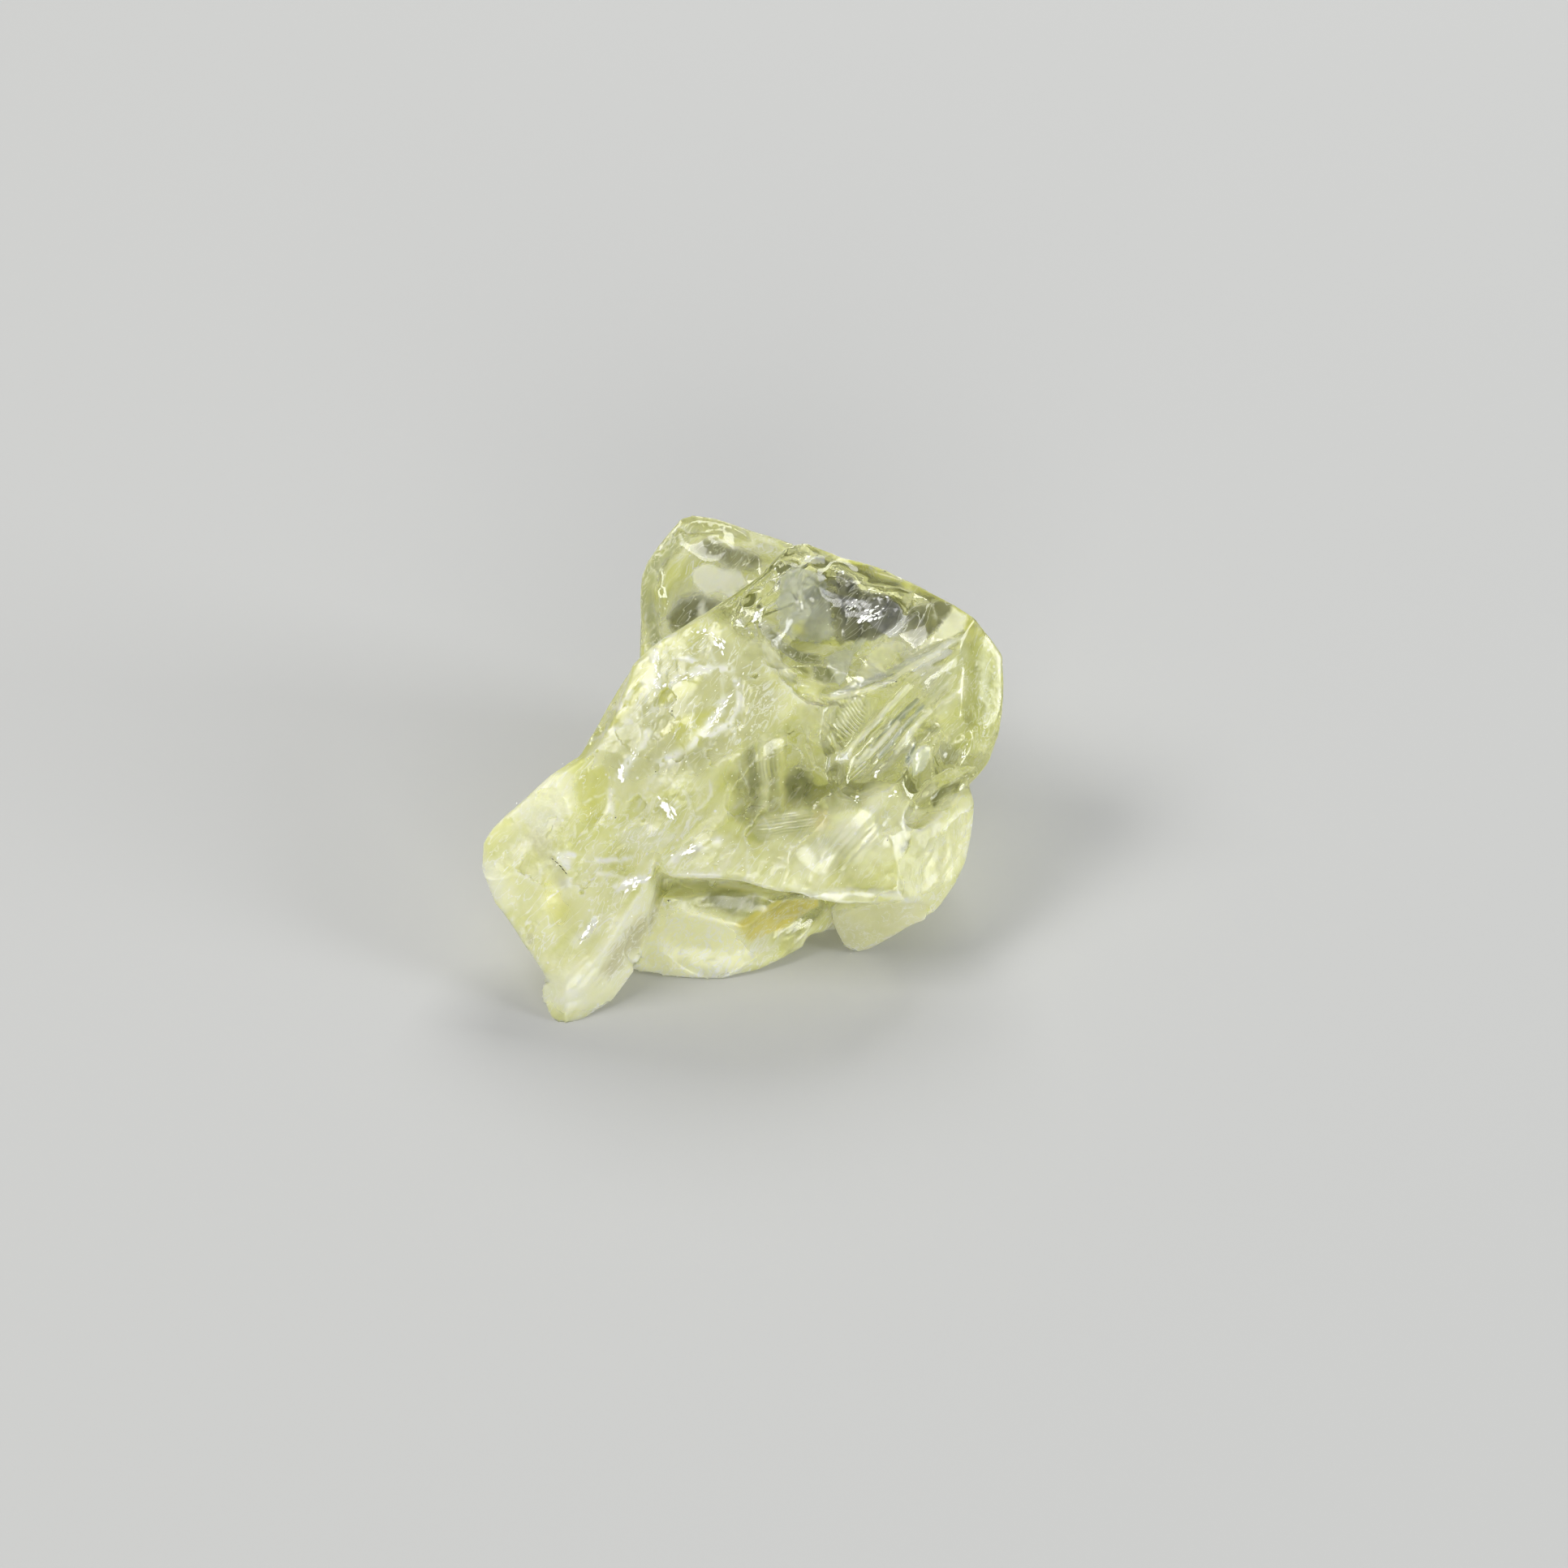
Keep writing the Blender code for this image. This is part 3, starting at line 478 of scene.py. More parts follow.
patches = {  # swatch, strength, milk, frost, edge softness, and corners in the frame's pixels; besides the stone's own colours, some patches are painted light and shade
    # painted shade: a darker, greyer patch over the upper left, which dims what the key lamp lights there
    "shoulder": ("mistShade", 0.85, 0.85, 0.45, 1.0, [(745, 900), (775, 850), (808, 812), (850, 785), (900, 775),
        (940, 800), (965, 850), (955, 900), (900, 930), (860, 960), (780, 965), (740, 945)]),
    "windowPane": ("glass", 1, 0.0, 0.0, 0.3, [(962, 690), (985, 668), (1040, 678), (1110, 705),
        (1180, 742), (1195, 770), (1150, 800), (1100, 840), (1040, 862), (1000, 835), (950, 800),
        (935, 760)]),
    "rimBand": ("lime", 0.95, 0.6, 0.1, 0.25, [(1000, 668), (1060, 682), (1120, 708), (1180, 738),
        (1215, 775), (1228, 830), (1222, 880), (1206, 900), (1196, 850), (1190, 800), (1183, 760),
        (1160, 742), (1110, 722), (1060, 700), (1015, 684)]),
    # painted reflections in the clear window: a grey plane, a yellow glow, and dark strips, a pool and a
    # triangle where the dark surroundings show in the glass
    "greyPlaneReflection": ("slateReflection", 0.95, 0.5, 0.03, 0.08, [(977, 697), (997, 702), (1016, 708), (1024, 734),
        (1025, 787), (1008, 797), (997, 792), (977, 787), (960, 775), (956, 744), (961, 712)]),
    "planeGlow": ("lemonGlow", 0.6, 0.4, 0.1, 0.2, [(978, 766), (990, 764), (993, 780), (980, 784)]),
    "darkStrip": ("darkReflection", 0.9, 0.5, 0.0, 0.1, [(1022, 712), (1034, 714), (1042, 762), (1050, 785),
        (1036, 795), (1027, 785)]),
    "darkPool": ("blackReflection", 1, 0.6, 0.0, 0.15, [(1030, 704), (1048, 708), (1062, 722), (1090, 730), (1108, 745),
        (1112, 762), (1100, 775), (1080, 786), (1056, 790), (1040, 786), (1034, 750)]),
    "darkTriangle": ("darkReflection", 1, 0.92, 0.2, 0.1, [(1117, 759), (1125, 747), (1161, 739), (1175, 744),
        (1169, 759), (1155, 775), (1142, 787), (1130, 797), (1117, 786), (1110, 775)]),
    "paleWedge": ("bright", 1, 0.8, 0.1, 0.08, [(1175, 748), (1192, 759), (1189, 775), (1167, 787),
        (1142, 797), (1124, 806), (1130, 798), (1149, 784), (1164, 766)]),
    "paleSheet": ("bright", 0.65, 0.65, 0.05, 0.3, [(1055, 826), (1067, 804), (1092, 787), (1108, 783),
        (1124, 798), (1100, 822), (1070, 838), (1042, 842)]),
    # painted grey reflections: a sheet in the window and a band along its lip
    "slateSheet": ("slateReflection", 0.8, 0.65, 0.03, 0.12, [(1013, 812), (1039, 797), (1064, 784), (1069, 789),
        (1055, 806), (1049, 820), (1039, 837), (1033, 844), (1024, 834)]),
    "lipBand": ("slateReflection", 0.85, 0.65, 0.03, 0.12, [(1021, 853), (1055, 841), (1099, 822), (1124, 809),
        (1149, 800), (1189, 778), (1189, 785), (1150, 807), (1124, 818), (1098, 832), (1055, 850),
        (1024, 859)]),
    # painted shade: dark arcs in the window's curved bands
    "darkArc": ("mossAndShade", 0.95, 0.7, 0.05, 0.12, [(940, 780), (958, 798), (985, 818), (1010, 820),
        (1012, 806), (990, 804), (968, 793), (950, 773)]),
    "oliveFlake": ("mossAndShade", 0.95, 0.6, 0.3, 0.12, [(1000, 822), (1022, 824), (1030, 838), (1015, 844),
        (1002, 837)]),
    "leftWedge": ("bright", 0.9, 0.7, 0.2, 0.15, [(942, 785), (962, 812), (985, 832), (978, 840),
        (955, 824), (940, 800)]),
    "lightFacet": ("bright", 0.6, 0.5, 0.1, 0.15, [(978, 868), (1015, 858), (1017, 890), (1035, 920),
        (1015, 925), (990, 905)]),
    "rippleShade": ("sageShade", 0.75, 0.6, 0.0, 0.2, [(1019, 861), (1060, 856), (1085, 862), (1062, 900),
        (1040, 912), (1022, 890)]),
    "fanShadow": ("sageShade", 0.95, 0.65, 0.03, 0.2, [(1133, 869), (1155, 835), (1170, 810), (1189, 786),
        (1200, 800), (1180, 830), (1150, 862), (1120, 895), (1108, 902)]),
    # painted shade in the fan's two slits
    "slitHigh": ("slateShade", 1, 0.75, 0.0, 0.08, [(1063, 927), (1096, 890), (1130, 858), (1134, 862),
        (1101, 898), (1068, 931)]),
    "slitLow": ("slateShade", 0.95, 0.75, 0.0, 0.08, [(1078, 931), (1110, 894), (1136, 866), (1140, 870),
        (1115, 900), (1083, 936)]),
    # painted shade in a curved hollow
    "curl": ("mossAndShade", 0.8, 0.6, 0.0, 0.12, [(1128, 905), (1150, 892), (1163, 895), (1142, 909),
        (1132, 919)]),
    # painted shade along the blade's edge
    "bladeEdge": ("slateShade", 1, 0.75, 0.0, 0.1, [(1113, 937), (1123, 918), (1131, 915), (1123, 934),
        (1119, 948)]),
    # a painted bluish-white reflection on the blade
    "blade": ("pearlReflection", 0.8, 0.7, 0.0, 0.1, [(1121, 931), (1131, 920), (1147, 917), (1149, 931), (1140, 950),
        (1125, 958)]),
    # painted shade on a dark facet
    "darkFacet": ("mossAndShade", 0.8, 0.6, 0.0, 0.15, [(1162, 911), (1189, 917), (1180, 940), (1164, 944),
        (1157, 930)]),
    # painted shade in the crease and its pit
    "creasePit": ("mossAndShade", 0.95, 0.65, 0.1, 0.12, [(1147, 993), (1149, 980), (1162, 969), (1171, 974),
        (1160, 985), (1152, 996)]),
    "creaseLine": ("mossAndShade", 0.7, 0.6, 0.1, 0.1, [(1160, 970), (1204, 944), (1207, 951), (1166, 979)]),
    "fanLight": ("bright", 0.9, 0.8, 0.0, 0.08, [(1036, 930), (1060, 903), (1090, 870), (1120, 840),
        (1126, 845), (1095, 878), (1064, 911), (1042, 936)]),
    "fanLightLow": ("bright", 0.95, 0.8, 0.0, 0.08, [(1049, 943), (1085, 906), (1105, 886), (1111, 892),
        (1090, 915), (1056, 950)]),
    "fanFootLight": ("white", 0.8, 0.7, 0.1, 0.2, [(1028, 926), (1047, 926), (1062, 940), (1045, 946),
        (1030, 941)]),
    "lowerGlow": ("bright", 0.5, 0.8, 0.15, 0.6, [(980, 1000), (1040, 968), (1110, 965), (1130, 1010),
        (1100, 1060), (1000, 1060), (940, 1040)]),
    "centreShade": ("sageShade", 0.6, 0.5, 0.05, 0.3, [(920, 898), (965, 895), (972, 930), (965, 990),
        (930, 1000), (915, 960)]),
    # painted shade: a dark patch in the middle
    "centreDark": ("mossAndShade", 0.9, 0.5, 0.0, 0.35, [(970, 945), (990, 938), (1006, 955), (1001, 985),
        (975, 990), (965, 965)]),
    "amberTint": ("amber", 0.5, 0.7, 0.1, 0.25, [(1003, 1000), (1020, 998), (1023, 1018), (1006, 1022)]),
    # painted shade under the overhang: the shelf and the hollow
    "shelfShade": ("sageShade", 0.5, 0.7, 0.6, 0.2, [(822, 1080), (880, 1082), (885, 1105), (840, 1112),
        (818, 1100)]),
    "hollowShade": ("mossAndShade", 0.85, 0.8, 0.5, 0.35, [(870, 1098), (905, 1092), (937, 1102), (930, 1120),
        (895, 1130), (870, 1116)]),
    "oliveFacet": ("olive", 0.95, 0.7, 0.3, 0.15, [(903, 1140), (930, 1122), (960, 1110), (1006, 1105),
        (1008, 1116), (990, 1130), (962, 1150), (925, 1162), (908, 1152)]),
    "creamFacet": ("cream", 0.95, 0.95, 0.55, 0.5, [(770, 1190), (800, 1135), (840, 1112), (880, 1120),
        (905, 1142), (925, 1165), (945, 1182), (880, 1215), (770, 1215)]),
    "foot": ("beige", 0.6, 0.9, 0.6, 0.3, [(1020, 1120), (1080, 1118), (1142, 1108), (1132, 1152),
        (1060, 1178), (1028, 1152)]),
    "sideFace": ("haze", 0.8, 0.92, 0.7, 0.3, [(800, 1088), (820, 1105), (792, 1152), (770, 1202),
        (740, 1228), (700, 1242), (688, 1228), (720, 1200), (765, 1150)]),
    "yellowGlow": ("lemonGlow", 0.8, 0.9, 0.4, 0.6, [(668, 1085), (690, 1078), (702, 1120), (690, 1138),
        (668, 1128)]),
    "innerGlow": ("lemonGlow", 0.9, 0.6, 0.1, 0.15, [(812, 902), (835, 885), (854, 884), (840, 898),
        (820, 910)]),
    "leafGreen": ("lime", 0.9, 0.7, 0.1, 0.2, [(811, 870), (815, 850), (835, 836), (868, 833), (858, 850),
        (838, 862)]),
    "edgeGreen": ("lime", 0.95, 0.75, 0.1, 0.3, [(745, 898), (765, 862), (778, 835), (800, 803), (808, 812),
        (800, 845), (772, 880), (752, 905)]),
    "patchGreen": ("lime", 0.85, 0.8, 0.2, 0.2, [(712, 950), (745, 944), (752, 985), (740, 1018),
        (718, 1015), (710, 980)]),
    "whiteBand": ("bright", 0.8, 0.97, 0.5, 0.4, [(636, 985), (700, 945), (712, 955), (705, 1000),
        (680, 1010), (636, 1010)]),
    "pit": ("stoneGrey", 0.8, 0.95, 0.6, 0.12, [(649, 1150), (658, 1149), (661, 1160), (654, 1166),
        (649, 1160)]),
    # a painted highlight, smeared along the lobe
    "smearHighlight": ("white", 0.9, 1.0, 0.3, 0.12, [(711, 1162), (722, 1150), (732, 1127), (739, 1126),
        (736, 1140), (727, 1153)]),
    "brownGrain": ("umber", 0.7, 0.92, 0.6, 0.35, [(741, 1195), (757, 1165), (785, 1132), (812, 1118),
        (806, 1140), (785, 1170), (762, 1195), (748, 1208)]),
    "rimSide": ("rim", 0.85, 0.7, 0.12, 0.3, [(1150, 870), (1185, 825), (1200, 790), (1215, 795),
        (1228, 830), (1226, 890), (1205, 935), (1185, 925), (1165, 900)]),
    "limeLow": ("lime", 0.6, 0.85, 0.3, 0.3, [(745, 1040), (790, 1030), (800, 1050), (770, 1075),
        (740, 1065)]),
    "limeHigh": ("lime", 0.7, 0.8, 0.3, 0.3, [(838, 890), (880, 868), (888, 885), (850, 925), (832, 925)]),
    "limeToe": ("lime", 0.55, 0.9, 0.4, 0.4, [(690, 1150), (720, 1130), (735, 1105), (700, 1105),
        (675, 1140)]),
    "veilPatch": ("ash", 0.7, 0.95, 0.4, 0.3, [(755, 1030), (800, 1015), (835, 1030), (820, 1050),
        (775, 1050)]),
    "veilPatchHigh": ("bright", 0.7, 0.95, 0.4, 0.25, [(800, 800), (812, 800), (814, 850), (800, 870),
        (795, 840)]),
    "ashCone": ("haze", 0.8, 0.97, 0.4, 0.1, [(752, 966), (757, 985), (759, 1012), (748, 1010),
        (750, 985)]),
    "lipLight": ("bright", 0.7, 0.7, 0.0, 0.08, [(1022, 856), (1067, 848), (1100, 833), (1133, 812),
        (1160, 801), (1160, 807), (1134, 820), (1100, 841), (1068, 855), (1024, 862)]),
    "fanLightFar": ("bright", 0.85, 0.75, 0.0, 0.08, [(1097, 924), (1120, 898), (1145, 870), (1151, 876),
        (1125, 906), (1104, 931)]),
    "mottleHigh": ("mossAndShade", 0.45, 0.6, 0.0, 0.15, [(1205, 860), (1217, 868), (1213, 882), (1203, 873)]),
    "mottleMid": ("mossAndShade", 0.45, 0.6, 0.0, 0.15, [(1188, 884), (1199, 879), (1205, 893), (1192, 897)]),
    "mottleTop": ("mossAndShade", 0.45, 0.6, 0.0, 0.15, [(1205, 815), (1214, 822), (1210, 836), (1202, 828)]),
    "rimLight": ("haze", 0.6, 0.6, 0.05, 0.2, [(1150, 880), (1185, 840), (1200, 835), (1190, 860),
        (1160, 890)]),
    "ashLeft": ("ash", 0.85, 0.97, 0.6, 0.4, [(592, 1062), (612, 1055), (625, 1085), (622, 1112),
        (606, 1108), (594, 1085)]),
    "crackWhite": ("white", 0.8, 1.0, 0.5, 0.15, [(690, 1085), (702, 1080), (704, 1092), (696, 1100)]),
    "toeWhite": ("ash", 0.85, 0.95, 0.5, 0.4, [(667, 1200), (700, 1195), (730, 1195), (722, 1225),
        (695, 1246), (672, 1235)]),
    "curtainLeft": ("mossAndShade", 0.7, 0.5, 0.0, 0.15, [(920, 925), (930, 922), (936, 960), (934, 1003),
        (924, 1005)]),
    "curtainMid": ("mossAndShade", 0.6, 0.5, 0.0, 0.15, [(948, 912), (955, 912), (958, 960), (956, 995),
        (949, 990)]),
    "curtainLight": ("bright", 0.6, 0.6, 0.0, 0.12, [(937, 905), (946, 905), (947, 1000), (938, 1000)]),
    "curtainRight": ("lemonGlow", 0.5, 0.6, 0.0, 0.12, [(959, 905), (967, 905), (968, 1000), (961, 1000)]),
    "curtainFoot": ("bright", 0.6, 0.7, 0.05, 0.2, [(925, 1012), (950, 1003), (985, 996), (1000, 1001),
        (975, 1013), (935, 1022)]),
    "curtainShade": ("sageShade", 0.8, 0.7, 0.05, 0.12, [(920, 1013), (940, 1021), (978, 1018), (972, 1027),
        (935, 1031)]),
    "wedgeDark": ("mossAndShade", 0.85, 0.7, 0.0, 0.1, [(1109, 1045), (1118, 1031), (1124, 1034), (1118, 1046),
        (1110, 1054)]),
    "apronLight": ("bright", 0.5, 0.9, 0.1, 0.3, [(975, 1068), (1000, 1040), (1050, 1000), (1075, 985),
        (1085, 992), (1050, 1040), (1010, 1075), (985, 1090)]),
    "rimCream": ("cream", 0.6, 0.9, 0.4, 0.4, [(1130, 1060), (1165, 1010), (1190, 960), (1200, 975),
        (1190, 1050), (1160, 1090), (1130, 1110)]),
    "lipGrey": ("white", 0.5, 0.9, 0.2, 0.15, [(965, 1090), (985, 1085), (1010, 1100), (1050, 1097),
        (1090, 1099), (1060, 1108), (1000, 1107)]),
    "rimEdge": ("rim", 0.8, 0.9, 0.5, 0.3, [(1200, 780), (1222, 790), (1238, 830), (1234, 900), (1215, 930),
        (1205, 880), (1208, 820)]),
    "brownDust": ("stoneGrey", 0.5, 0.95, 0.6, 0.2, [(640, 1036), (650, 1028), (660, 1036), (655, 1048),
        (644, 1046)]),
    "frostCrescent": ("white", 0.9, 0.6, 0.8, 0.1, [(983, 690), (1000, 681), (1016, 683), (1016, 694),
        (1000, 694)]),
    "limeLobe": ("lime", 0.4, 0.95, 0.5, 0.5, [(600, 1020), (640, 1008), (665, 1040), (680, 1100),
        (660, 1130), (630, 1100), (610, 1050)]),
    "ashTop": ("ash", 0.85, 0.97, 0.6, 0.4, [(640, 990), (680, 985), (694, 1010), (672, 1028), (646, 1020),
        (634, 1005)]),
    "bruiseGrey": ("stoneGrey", 0.6, 0.95, 0.6, 0.3, [(650, 1020), (672, 1022), (690, 1048), (692, 1064),
        (704, 1084), (700, 1100), (688, 1088), (672, 1060), (652, 1040)]),
    "bruise": ("white", 0.9, 1.0, 0.6, 0.3, [(683, 1050), (690, 1044), (704, 1050), (706, 1066),
        (698, 1072), (688, 1062)]),
    # a painted soft shadow along the crack
    "crackShadow": ("stoneGrey", 0.25, 0.95, 0.3, 0.08, [(678, 1053), (684, 1055), (693, 1065), (702, 1075),
        (700, 1080), (689, 1072), (680, 1061)]),
}

lobePatches = {  # the same, on the lobe that stands behind
    "lobePane": ("glass", 1, 0.05, 0.0, 0.4, [(790, 700), (815, 655), (850, 640), (935, 680), (950, 720),
        (890, 800), (800, 820)]),
    "lobeLight": ("white", 1, 0.95, 0.05, 0.2, [(851, 700), (862, 689), (890, 694), (907, 690), (920, 712),
        (900, 735), (884, 724), (868, 730), (856, 716)]),
    # painted dark reflections, where the dark surroundings show through the clear lobe
    "lobeDark": ("darkReflection", 1, 0.92, 0.0, 0.3, [(820, 756), (835, 736), (858, 730), (888, 738), (882, 765),
        (852, 792), (828, 788)]),
    "lobeDarkTop": ("darkReflection", 0.95, 0.75, 0.05, 0.5, [(880, 655), (915, 668), (945, 684), (930, 700),
        (890, 690), (862, 682), (850, 668)]),
    "lobeRim": ("lichen", 0.95, 0.8, 0.1, 0.3, [(798, 800), (786, 740), (788, 700), (805, 655), (840, 634),
        (872, 642), (850, 655), (818, 680), (804, 720), (812, 790)]),
    "lobeStreak": ("white", 0.9, 0.85, 0.0, 0.12, [(856, 742), (864, 736), (870, 762), (862, 778)]),
}
patchShape = {"sway": ((0.16, 0.6, 51), (0.22, 1.6, 52)), "rise": ((0.16, 0.6, 53), (0.22, 1.6, 54)),
              "facing": (-0.1, 0.2), "front": (7, 7.5), "lobe": (5, 6), "crisp": 0.3, "reach": 1}


def onTheFace(pixels):  # corners in the frame's pixels become millimetres across and up the face
    left, low = view["facePixel"]
    size = view["mmPerPixel"]
    return [(round((x - left) * size, 1), round((low - y) * size, 1)) for x, y in pixels]


def insideDistance(a, u, corners):  # distance to an outline's edge, negative inside it
    best, inside = np.full(len(a), 1e9), np.zeros(len(a), dtype=bool)
    for (x0, y0), (x1, y1) in zip(corners, corners[1:] + corners[:1]):
        dx, dy = x1 - x0, y1 - y0
        t = np.clip(((a - x0) * dx + (u - y0) * dy) / (dx * dx + dy * dy), 0, 1)
        best = np.minimum(best, np.hypot(a - x0 - t * dx, u - y0 - t * dy))
        if y0 != y1:
            inside ^= ((u < y0) != (u < y1)) & (a < x0 + dx * (u - y0) / dy)
    return np.where(inside, -best, best)


def tintPatches(points, normals, milk, frost):  # lays the patches on, and gives their colours and strengths, painted light and shade among them
    a, u, deep = faceMeasures(points)
    sway, rise = clouds(points, *patchShape["sway"]), clouds(points, *patchShape["rise"])
    colour = np.tile((*swatches["haze"], 0.0), (len(points), 1))
    ahead = softly(normals @ outOfFace, *patchShape["facing"])
    front, back = 1 - softly(deep, *patchShape["front"]), softly(deep, *patchShape["lobe"])
    for layer, group in ((front, patches), (back, lobePatches)):
        for swatch, strength, patchMilk, patchFrost, soft, pixels in group.values():
            corners = onTheFace(pixels)
            near = np.flatnonzero(within(a, u, corners, patchShape["reach"]))
            loose = min(1, soft / patchShape["crisp"])  # crisp outlines stay straight
            x, y = a[near] + sway[near] * loose, u[near] + rise[near] * loose
            share = 1 - softly(insideDistance(x, y, corners), -soft, soft)
            share *= strength * (layer * ahead)[near]
            colour[near, :3] += (np.array(swatches[swatch]) - colour[near, :3]) * share[:, None]
            colour[near, 3] += (1 - colour[near, 3]) * share
            milk[near] += (patchMilk - milk[near]) * share
            frost[near] += (patchFrost - frost[near]) * share
    return colour


striae = {  # fine lines: place, half length, half width, turn, the lines' centre, spacing, strength
    "ripples": ((7.1, 20.8), 1.9, 1.3, 60, (9.3, 22.7), 0.26, 1.8),
    "ripplesFaint": ((9.3, 21.6), 1.3, 0.9, 20, (60, 22), 0.25, 0.5),
    "hackles": ((7.9, 17.3), 1.1, 0.45, 45, (50.3, -25.1), 0.22, 1.5),
    "apronRays": ((8.4, 13.4), 4.4, 2.3, 47, (54.6, -27.4), 0.5, 0.35),
    "heartLines": ((1.6, 18.3), 2.2, 1.3, 90, (61.6, 18.3), 0.3, 0.6),
    "silk": ((3.0, 13.6), 2.4, 0.8, 8, (-5.3, 73), 0.2, 0.4),
    "sideGrain": ((-8.0, 5.0), 3.6, 1.3, 50, (40.5, -29.1), 0.4, 0.7),
    "fanLines": ((10.9, 20.7), 5.4, 2.1, 47, (54.6, -20.4), 0.5, 0.8),
    "shelfLines": ((-3.3, 3.2), 3.0, 1.2, 20, (-24, 60), 0.4, 0.25),
}
striaeShape = {"facing": (0.1, 0.3), "wander": (0.5, 1.3, 57)}


def rule(points, normals):  # how many fine lines a point is from their centre, and how strong they are there
    a, u, _ = faceMeasures(points)
    ahead = softly(normals @ outOfFace, *striaeShape["facing"])
    wander = clouds(points, striaeShape["wander"])
    phase, strength = np.zeros(len(points)), np.zeros(len(points))
    for place, length, width, turn, (centreX, centreY), spacing, most in striae.values():
        along, aside = turned(a, u, place, turn)
        share = most * ahead * (1 - softly(np.hypot(along / length, aside / width), 0.6, 1))
        stronger = share > strength
        phase = np.where(stronger, np.hypot(a - centreX, u - centreY) / spacing + wander, phase)
        strength = np.maximum(strength, share)
    return phase, strength


flakes = [  # seed, how many, half length, width share, depth, lip, turn, tilt, least milk
    (5, 34, (1.6, 4.4), (0.25, 0.45), (0.02, 0.05), (0.0, 0.02), (35, 70), 0.04, 0.3),
    (6, 180, (0.3, 1.2), (0.25, 0.5), (0.006, 0.02), (0.0, 0.015), (30, 75), 0.06, 0.3),
]
knapping = {"smoothing": 12, "broadside": 0.35, "offFloor": 0.6, "reach": 0.5, "wander": 0.35,
            "underside": (9.2, -7, 3)}  # below the first up the face, right of the second, or below the third


def knap(mesh, points):  # small shallow flakes over the milky parts, which leave low ridges where they meet
    for seed, count, lengths, slim, depths, lips, turns, tilt, least in flakes:
        random = np.random.default_rng(seed)
        writePoints(mesh, smooth(mesh, points, knapping["smoothing"]))
        normals = readNormals(mesh)
        broadside = np.abs(normals @ outOfFace) > knapping["broadside"]
        a, u, _ = faceMeasures(points)
        high, left, low = knapping["underside"]
        underside = (u < high) & (a > left) | (u < low)  # it stays smooth
        offFloor = points[:, 2] > knapping["offFloor"]
        candidates = np.flatnonzero((paint(points)[0] > least) & offFloor & broadside & ~underside)
        index = newIndex(points)
        for number in range(count):
            at = candidates[random.integers(len(candidates))]
            length = random.uniform(*lengths)
            width = length * random.uniform(*slim)
            facing = normals[at] + random.normal(0, tilt, 3)
            lip = random.uniform(*lips) * random.choice((-1, 1))
            depth, turn = random.uniform(*depths), random.uniform(*turns)
            carve(points, index, points[at], facing, length, width, depth, turn, lip=lip, seed=number,
                  reach=knapping["reach"], wander=knapping["wander"])


grainTurn = 52  # degrees from across the face to the way that the veils run
pebbles = {"place": (8.6, 28.2, 3.0), "size": (0.5, 3.4), "height": 3}  # the bubbly spot in the window


def alongGrain(points, long, short):  # places counted in lumps of this length and width along the grain
    a, u, deep = faceMeasures(points)
    along, aside = turned(a, u, (0, 0), grainTurn)
    return np.stack([along / long, aside / short, deep / short], axis=1)


soothed = {  # places on the face where the solid's creases are rubbed out: centre, radius
    "leftLobe": ((-14.9, 13.6), 4.5), "overhang": ((-2.0, 8.2), 3.2), "rightRim": ((16.6, 22.0), 5.0),
    "rightLow": ((14.5, 12.6), 4.5), "foot": ((9.2, 6.4), 3.0),
}
soothedDepth = 8


def soothe(mesh, points):
    a, u, deep = faceMeasures(points)
    share = np.zeros(len(points))
    for (x, y), radius in soothed.values():
        share = np.maximum(share, 1 - softly(np.hypot(a - x, u - y), radius * 0.6, radius))
    share = (share * (deep < soothedDepth))[:, None]
    return points + (smooth(mesh, points, skin["soothing"]) - points) * share


def sculpt(stone):
    mesh = stone.data
    points = soothe(mesh, smooth(mesh, readPoints(mesh), skin["smoothing"]))
    points += readNormals(mesh) * clouds(points, *skin["swell"])[:, None]
    index = newIndex(points)
    for seed, (place, facing, *sizes, extras) in enumerate(glassBreaks.values(), start=30):
        carve(points, index, onFace(*place), onFace(*facing), *sizes, seed=seed, **extras)
    knap(mesh, points)
    writePoints(mesh, smooth(mesh, points, skin["lastSmoothing"]))
    normals = readNormals(mesh)
    pressCombs(points, normals)
    milk, frost, _ = paint(points)
    white = pressSeams(points, normals, milk)
    pebbled = 1 - softly(np.linalg.norm(points - onFace(*pebbles["place"]), axis=1), *pebbles["size"])
    sugar = clouds(points, *skin["sugar"]) * (frost + pebbled * pebbles["height"])
    waxy = sum(height * cloud(alongGrain(points, long, short), 1, seed)
               for height, long, short, seed in skin["wax"])
    points += normals * (sugar + waxy * milk)[:, None]
    points[:, 2] = np.maximum(points[:, 2], 0)  # nothing goes below the ground
    writePoints(mesh, points)
    store(mesh, "seam", white)


def store(mesh, name, values):
    attribute = mesh.attributes.get(name) or mesh.attributes.new(name, "FLOAT", "POINT")
    attribute.data.foreach_set("value", values.astype(np.float32))


def thin(stone):
    triangles = sum(len(face.vertices) - 2 for face in stone.data.polygons)
    decimate = stone.modifiers.new("thin", "DECIMATE")
    decimate.ratio = min(1, skin["triangles"] / triangles)
    decimate.use_collapse_triangulate = True
    bakeModifiers(stone)
    print("skin thinned from", triangles, "to", len(stone.data.polygons))


